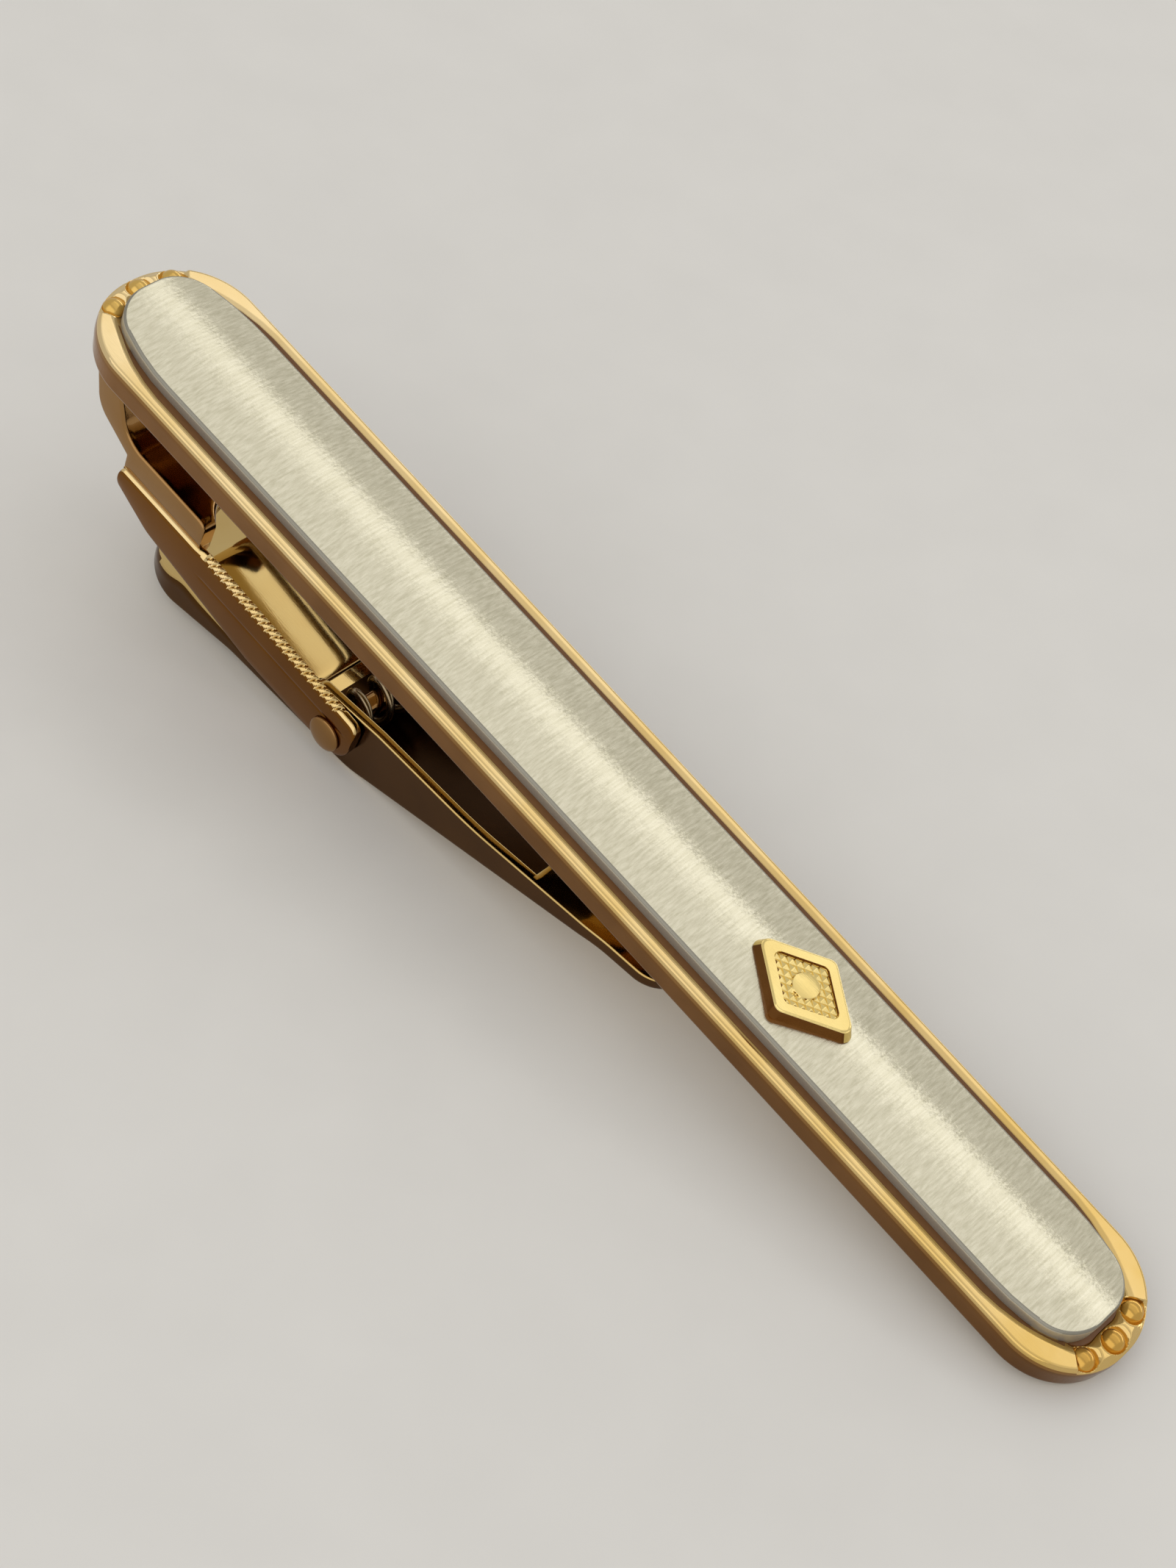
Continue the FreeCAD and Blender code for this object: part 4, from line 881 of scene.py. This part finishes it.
FIRST_NOTCH, TEETH_FROM, TEETH_TO, TEETH_FADE = 10.5, 10.3, 19.1, 0.2
STATIONS_PER_TOOTH, FACE_ROWS = 10, 4
ARM_X, ARM_Z, ARM_END_Z = 10.1, -5.1, -5.5

ear_low = round_corners([
    (BRACKET_START, -5.7, 0), (BRACKET_START, -6.2, 0.3), (7.0, -7.15, 2.0), (13.8, -8.05, 0.3),
    (EAR_END, -8.05, 1.2), (EAR_END, -6.4, 0),
], FINE_STEPS)
ear_high = round_corners([
    (BRACKET_START, -5.7, 0), (BRACKET_START, LEG_UNDER, 0.25), (9.7, LEG_UNDER, 0.1), (ARM_X, ARM_Z, 0.1),
    (EAR_END, ARM_END_Z, 0.5), (EAR_END, -6.4, 0),
], FINE_STEPS)


def teeth(x):
    """Depth below the crests of rounded teeth: 1 - |sin|, sharp in the notches, between the end teeth."""
    wave = 1 - np.abs(np.sin(np.pi * (x - FIRST_NOTCH) / TOOTH_PITCH))
    return TOOTH_DEPTH * wave * smooth((x - TEETH_FROM) / TEETH_FADE) * smooth((TEETH_TO - x) / TEETH_FADE)


def ear_grid(side):
    """Closed sections from the lower to the upper edge: lower edge, outside face, roll, teeth, inside."""
    x = np.concatenate([
        BRACKET_START + EAR_START_ROUND * quarter_bend(8)[0][1:], np.linspace(*EAR_PLAIN),
        np.arange(TEETH_FROM, TEETH_TO, TOOTH_PITCH / STATIONS_PER_TOOTH),
        EAR_END - EAR_END_ROUND * quarter_bend(16)[0][12:0:-1],
    ])
    x.sort()
    low = along_line(ear_low, x)
    high = along_line(ear_high, x)
    edge = np.minimum(EAR_EDGE, EAR_EDGE_SHARE * (high - low))
    roll = np.minimum(EAR_ROLL, EAR_ROLL_SHARE * (high - low))
    curl, dip = quarter_bend(5)
    roll_curl, roll_dip = quarter_bend(8)
    inner = EAR_OUT - SHEET
    crease = np.clip(CREASE_Z + CREASE_HALF * CREASE_ROWS, low + edge, high - roll)
    groove = CREASE_DEPTH * smooth((x - CREASE_FROM) / CREASE_FADE) * smooth((CREASE_TO - x) / CREASE_FADE)
    part_way = np.linspace(0, 1, FACE_ROWS + 2)[1:-1]
    below = low + edge + part_way * (crease[:, :1] - low - edge)
    above = crease[:, -1:] + part_way * (high - roll - crease[:, -1:])
    face_z = np.hstack([low + edge * curl, below, crease, above])
    middle, half = (high + low) / 2, (high - low) / 2
    face_y = EAR_OUT - EAR_CROWN * ((face_z - middle) / half) ** 2
    face_y[:, :curl.size] -= edge * dip
    first = curl.size + FACE_ROWS
    face_y[:, first:first + CREASE_FORM.size] -= groove[:, None] * CREASE_FORM
    lip = EAR_OUT - EAR_CROWN * ((high - roll - middle) / half) ** 2
    crest_y = np.hstack([lip - (roll - EAR_CROWN) * roll_curl, inner + edge * dip])
    crest_z = np.hstack([high - roll * roll_dip, high - edge * curl])
    shown = 1 - np.concatenate([roll_dip, curl])
    crest_z -= teeth(x[:, None] + TOOTH_SLANT * (crest_y - inner)) * shown
    foot_y, foot_z = inner + edge * curl, low + edge * dip
    y = np.hstack([foot_y, face_y, crest_y])
    z = np.hstack([foot_z, face_z, crest_z])
    return capped(points_of(x[:, None], side * y, z))


web_rails = [np.array([[BRACKET_START + WEB_EDGE, z], [RAIL_JOIN_X, z]]) for z in (WEB_UNDER, LEG_UNDER)]
web_grid = strip(*web_rails, EAR_OUT - SHEET / 2, WEB_EDGE, arch_end, WEB_EDGE)
# The ears' steep faces take a dark brown, painted shade and dark reflections.
new_piece(
    "hinge_bracket_pressed", [ear_grid(-1), ear_grid(1), web_grid],
    GILT, "base", "gilt_brass", "hinge_bracket", finishes=[(GILT_EAR_SHADE, EAR_CREST_RISE)],
)

# %% [markdown]
# ## Rivet
# The hinge pin is a rivet with a head formed outside each ear. Its profile, turned about its own axis,
# has low domed heads.

# %% Rivet
PIVOT_X, PIVOT_Z = 18.7, -7.2
PIN_RADIUS, HEAD_RADIUS, HEAD_HEIGHT = 0.5, 0.8, 0.25
HEAD_WALL, HEAD_FOOT, HEAD_BEVEL = 0.1, 0.04, 0.05
PIN_SIDES = 48
head_r = np.concatenate([HEAD_RADIUS * (1 - dip), [HEAD_RADIUS, HEAD_RADIUS - HEAD_BEVEL, PIN_RADIUS]])
head_rise = HEAD_WALL + (HEAD_HEIGHT - HEAD_WALL) * (1 - curl)
head_y = EAR_OUT + np.concatenate([head_rise, [HEAD_FOOT, 0.0, 0.0]])
pin_r = np.concatenate([head_r, head_r[::-1]])[:, None]
pin_y = np.concatenate([-head_y, head_y[::-1]])[:, None]
round_pin = np.linspace(0, 2 * np.pi, PIN_SIDES + 1)[:-1]
pin_x, pin_z = PIVOT_X + pin_r * np.cos(round_pin), PIVOT_Z + pin_r * np.sin(round_pin)
pin_grid = points_of(pin_x, pin_y, pin_z)
# The rivet is the same middle brown of painted shade.
new_piece("pivot_rivet", [pin_grid], GILT_HALF_SHADE, "base", "gilt_brass", "pivot_pin")

# %% [markdown]
# ## Torsion spring
# Drawn wire winds three and a half turns round the rivet, with one leg along the lever and the other
# under the bracket. A circle is carried along the path; its own two axes come from the direction of
# the wire and from y, which the wire never follows.

# %% Spring
WIRE_RADIUS, WIRE_SIDES = 0.18, 14
COIL_RADIUS, COIL_PITCH, COIL_TURNS = 0.85, 1.2, 3
COIL_POINTS, LEG_POINTS = 220, 12
LOWER_LEG, UPPER_LEG = 6.2, 11.5
LEG_START, LEG_GAP = 0.02, 0.05
PLATE_UNDER_LEG = 1.129

rest_slope = math.atan2(PLATE_UNDER_LEG - WIRE_RADIUS - LEG_GAP - COIL_RADIUS, LOWER_LEG)
seat = WEB_UNDER - PIVOT_Z - WIRE_RADIUS - LEG_GAP
seat_slope = math.atan2(seat - COIL_RADIUS, UPPER_LEG)
first_turn = rest_slope - np.pi / 2
last_turn = np.pi / 2 - seat_slope + 2 * np.pi * COIL_TURNS
turn = np.linspace(first_turn, last_turn, COIL_POINTS)
advance = COIL_PITCH / (2 * np.pi)
coil_y = advance * (turn - (first_turn + last_turn) / 2)
coil = points_of(COIL_RADIUS * np.cos(turn), coil_y, COIL_RADIUS * np.sin(turn))


def wire_leg(angle, way, length, at):
    """Straight leg: it leaves the coil along the circle's tangent at that angle."""
    tangent = np.array([-math.sin(angle), 0, math.cos(angle)]) * way
    return at + np.linspace(LEG_START, 1, LEG_POINTS)[:, None] * length * tangent


path = np.concatenate([
    wire_leg(first_turn, -1, LOWER_LEG, coil[0])[::-1], coil, wire_leg(last_turn, 1, UPPER_LEG, coil[-1]),
]) + np.array([PIVOT_X, 0, PIVOT_Z])


def tube(line, radius):
    """Circle carried along a line, closed at both ends by a point."""
    ahead = unit(np.gradient(line, axis=0))
    across = unit(np.array([0, 1.0, 0]) - ahead * ahead[:, 1:2])
    out = np.cross(ahead, across)
    angle = np.linspace(0, 2 * np.pi, WIRE_SIDES + 1)[:-1, None]
    ring = line[:, None] + radius * (across[:, None] * np.cos(angle) + out[:, None] * np.sin(angle))
    return capped(ring)


spring = new_piece(
    "torsion_spring_wire", [tube(path, WIRE_RADIUS)], SPRING_STEEL, None,
    "spring_steel", "torsion_spring",
)
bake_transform(spring)

# %% [markdown]
# ## Jaw lever
# One pressed lever makes the jaw and the finger tab. It is a channel between its walls, solid towards
# the end of the jaw, and behind the pivot a plate that bends down across the end of the tab, with its
# edge turned down all round. At each x its half width, underside, top and floor are known, and a
# section with rounded edges and soft inside bends runs round them. Further points close to a bend, at
# small shares of it, keep it tight. The lever's sides are a dark brown of painted shade, and the floor of
# the channel's hollow a near-black brown of painted shade.

# %% Lever
TAB_END, JAW_END = 6.1, 36.8
LEVER_HALF, JAW_HALF = 2.85, 3.45
TAB_CORNER, JAW_CORNER = 2.6, 1.5
WALL, TAB_SHEET, BELLY_FADE = 0.45, 0.7, 0.5
LEVER_EDGE, TAB_EDGE, LEVER_BEND = 0.09, 0.8, 0.2
TAB_EDGE_FROM, TAB_EDGE_FADE = 15.5, 2.0
MOST_OF_HEIGHT, MOST_OF_WIDTH, MOST_OF_WALL = 0.45, 0.6, 0.4
PAST_BEND = 1.4
HOLLOW_FROM, HOLLOW_TO = 16.3, 29.6
HOLLOW_SHADE_FROM, HOLLOW_SHADE_SLACK = 17.0, 0.05

under_line = round_corners([
    (TAB_END, -9.78, 0), (TAB_END, -10.09, 0.25), (8.9, -10.25, 1.5), (12.6, -9.4, 4.0), (20.1, -8.73, 4.0),
    (33.4, -2.95, 6.0), (JAW_END, -2.25, 0.25), (JAW_END, -1.95, 0),
], FINE_STEPS)
top_line = round_corners([
    (TAB_END, -9.78, 0), (TAB_END, -9.45, 0.25), (9.2, -8.05, 1.2), (HOLLOW_FROM, -8.65, 0.3),
    (16.9, -5.87, 0.9), (26.2, -4.35, 20.0), (33.6, -2.22, 6.0), (JAW_END, -1.6, 0.25), (JAW_END, -1.95, 0),
], FINE_STEPS)
floor_line = round_corners([(HOLLOW_FROM, -8.65, 0), (20.1, -8.28, 4.0), (HOLLOW_TO, -4.151, 0)], FINE_STEPS)
plan_line = round_corners([
    (TAB_END, 0, 0), (TAB_END, LEVER_HALF, TAB_CORNER), (20.7, LEVER_HALF, 6.0), (32.6, JAW_HALF, 6.0),
    (JAW_END, JAW_HALF, JAW_CORNER), (JAW_END, 0, 0),
], FINE_STEPS)


def lever_section(x):
    """Half section at every x: belly, turned-down edge, wall, rim, inside wall, floor, as y and z."""
    half, under, top = along_line(plan_line, x), along_line(under_line, x), along_line(top_line, x)
    hollow = ((x > HOLLOW_FROM) & (x < HOLLOW_TO))[:, None]
    floor = np.where(hollow, np.minimum(along_line(floor_line, x), top), top)
    curl, dip = quarter_bend(6)
    room = MOST_OF_HEIGHT * (top - under)
    on_tab = smooth((TAB_EDGE_FROM - x) / TAB_EDGE_FADE)[:, None]
    wanted = LEVER_EDGE + (TAB_EDGE - LEVER_EDGE) * on_tab
    edge = np.minimum(np.minimum(wanted, room), MOST_OF_WIDTH * half)
    rim = np.minimum(edge, MOST_OF_HEIGHT * (top - floor))
    soft = np.minimum(LEVER_BEND, (top - floor) / 2)
    inner = half - WALL
    inside = np.maximum(inner, half / 2)
    behind = (x < HOLLOW_FROM)[:, None]
    deep = np.maximum(top - TAB_SHEET - under, 0) * smooth(inner / BELLY_FADE) * behind
    belly = under + deep
    lip = np.minimum(np.minimum(LEVER_BEND, room), MOST_OF_WALL * WALL)
    zero = np.zeros_like(half)
    y = [
        zero, 0.9 * inside, inside, inside, inside + 0.3 * lip, half - lip * dip, half, half,
        half - edge * curl, inner + rim * dip, inner, inner - soft * curl, inner - PAST_BEND * soft, zero,
    ]
    z = [
        belly, belly, belly - 0.2 * deep, under + 0.3 * np.minimum(lip, deep), under, under + lip * curl,
        np.minimum(under + PAST_BEND * lip, top - 1.1 * edge), top - 1.2 * edge, top - edge * dip,
        top - rim * curl, np.maximum(floor, top - PAST_BEND * rim), floor + soft * dip, floor, floor,
    ]
    return np.hstack(y), np.hstack(z)


ease = quarter_bend(18)[0]
lever_x = np.concatenate([
    TAB_END + TAB_CORNER * ease,
    runs(
        (8.74, 9.7, 26), (9.9, 16.2, 20), (16.25, 18.0, 40), (18.1, HOLLOW_TO - 0.01, 46),
        (HOLLOW_TO + 0.01, JAW_END - JAW_CORNER - 0.1, 22),
    ),
    JAW_END - JAW_CORNER * ease[:0:-1],
])
half_y, half_z = lever_section(lever_x)
ring_y = np.hstack([half_y, -half_y[:, -2:0:-1]])
ring_z = np.hstack([half_z, half_z[:, -2:0:-1]])
lever_grid = points_of(lever_x[:, None], ring_y, ring_z)
# The lever's sides take a dark brown of painted shade.
lever = new_piece(
    "jaw_lever_pressed", [capped(lever_grid)], GILT_LEVER, "lever", "gilt_brass", "jaw_lever",
    finishes=[(GILT_LEVER_SIDE_SHADE, UPRIGHT)],
)


def paint_hollow_shade(mesh, finish):
    """Paints the hollow's floor near-black as painted shade: face middles turned back to the bar's axes,
    tested by place.
    """
    middle = values_of(mesh.polygons, "center") / MM - BAR_ORIGIN
    x, y, z = (middle @ turn_with_bar(np.eye(3)).T).T
    half, top, floor = (along_line(line, x).ravel() for line in (plan_line, top_line, floor_line))
    inside = (x > HOLLOW_SHADE_FROM) & (x < HOLLOW_TO + HOLLOW_SHADE_SLACK) & (np.abs(y) < half - WALL)
    inside &= (z < top - HOLLOW_SHADE_SLACK) & (z > floor - 2 * HOLLOW_SHADE_SLACK)
    chosen = values_of(mesh.polygons, "material_index", 1, np.int32)
    chosen[inside] = len(mesh.materials)
    mesh.materials.append(finish)
    mesh.polygons.foreach_set("material_index", chosen)
    print("hollow floor", int(inside.sum()), "faces")


paint_hollow_shade(lever.data, GILT_HOLLOW_SHADE)

# %% [markdown]
# ## Finishes of the solid pieces
# The film of adhesive under the panel keeps its solid shape. The hidden solids get the same finishes,
# so that nothing is left bare if one of them is ever shown.

# %% Finishes on the solid pieces
NODE_FINISH = {
    "front_frame": GILT, "steel_inlay": STEEL, "inlay_bond": ADHESIVE, "emblem": GILT_STRUCK,
    "back_plate": GILT_HALF_SHADE, "hinge_bracket": GILT_HALF_SHADE, "pivot_pin": GILT_HALF_SHADE,
    "torsion_spring": SPRING_STEEL, "jaw_lever": GILT_LEVER,
}
for node_name, finish in NODE_FINISH.items():
    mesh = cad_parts[node_name].data
    mesh.materials.clear()
    mesh.materials.append(finish)
print("solid pieces with a finish:", len(NODE_FINISH))

# %% [markdown]
# ## Floor, light and surroundings
# The clip lies on a pale matt board in an even room. Three soft boxes hang side by side above the bar,
# each a little brighter than the last, and the last ends where the crown of the dome stops mirroring
# it. That draws the long bright streak with its crisp far edge. A wide box in front and a low narrow
# one behind give the softened edges of the rim their thin white lines.

# %% Floor and light
FLOOR_HALF = 0.6
LAMP_DISTANCE, LAMP_LENGTH = 300, 520
floor_corners = [(x * FLOOR_HALF, y * FLOOR_HALF, 0) for x, y in ((-1, -1), (1, -1), (1, 1), (-1, 1))]
floor_mesh = bpy.data.meshes.new("floor")
floor_mesh.from_pydata(floor_corners, [], [(0, 1, 2, 3)])
floor_mesh.materials.append(PALE_FLOOR)
floor = add_object("floor", floor_mesh)


def soft_box(name, low, high, brightness):
    """Long box of light that faces the bar between two angles, in degrees from above towards the back."""
    lamp = bpy.data.lights.new(name, "AREA")
    lamp.shape = "RECTANGLE"
    lamp.size = LAMP_LENGTH * MM
    lamp.size_y = 2 * LAMP_DISTANCE * math.tan(math.radians(high - low) / 2) * MM
    lamp.energy = brightness * math.pi * lamp.size * lamp.size_y
    angle = math.radians(low + high) / 2
    back = np.array([0, math.sin(angle), math.cos(angle)])
    right = np.array([1.0, 0, 0])
    aim(add_object(name, lamp), right, np.cross(back, right), back, LOOK_AT + LAMP_DISTANCE * back)
    print(name, round(lamp.energy, 3), "W")


soft_box("overhead_box", -8, 27, 0.22)
soft_box("key_box", 27, 33, 0.38)
soft_box("streak_box", 33, 42, 0.62)
soft_box("front_box", -80, -25, 0.55)
soft_box("back_strip", 76, 86, 1.6)

world = bpy.data.worlds.new("grey_room")
world.use_nodes = True
room = world.node_tree.nodes["Background"]
room.inputs["Color"].default_value = linear("F4F2EE")
room.inputs["Strength"].default_value = 0.7
bpy.context.scene.world = world
bpy.context.scene.view_settings.view_transform = "Standard"
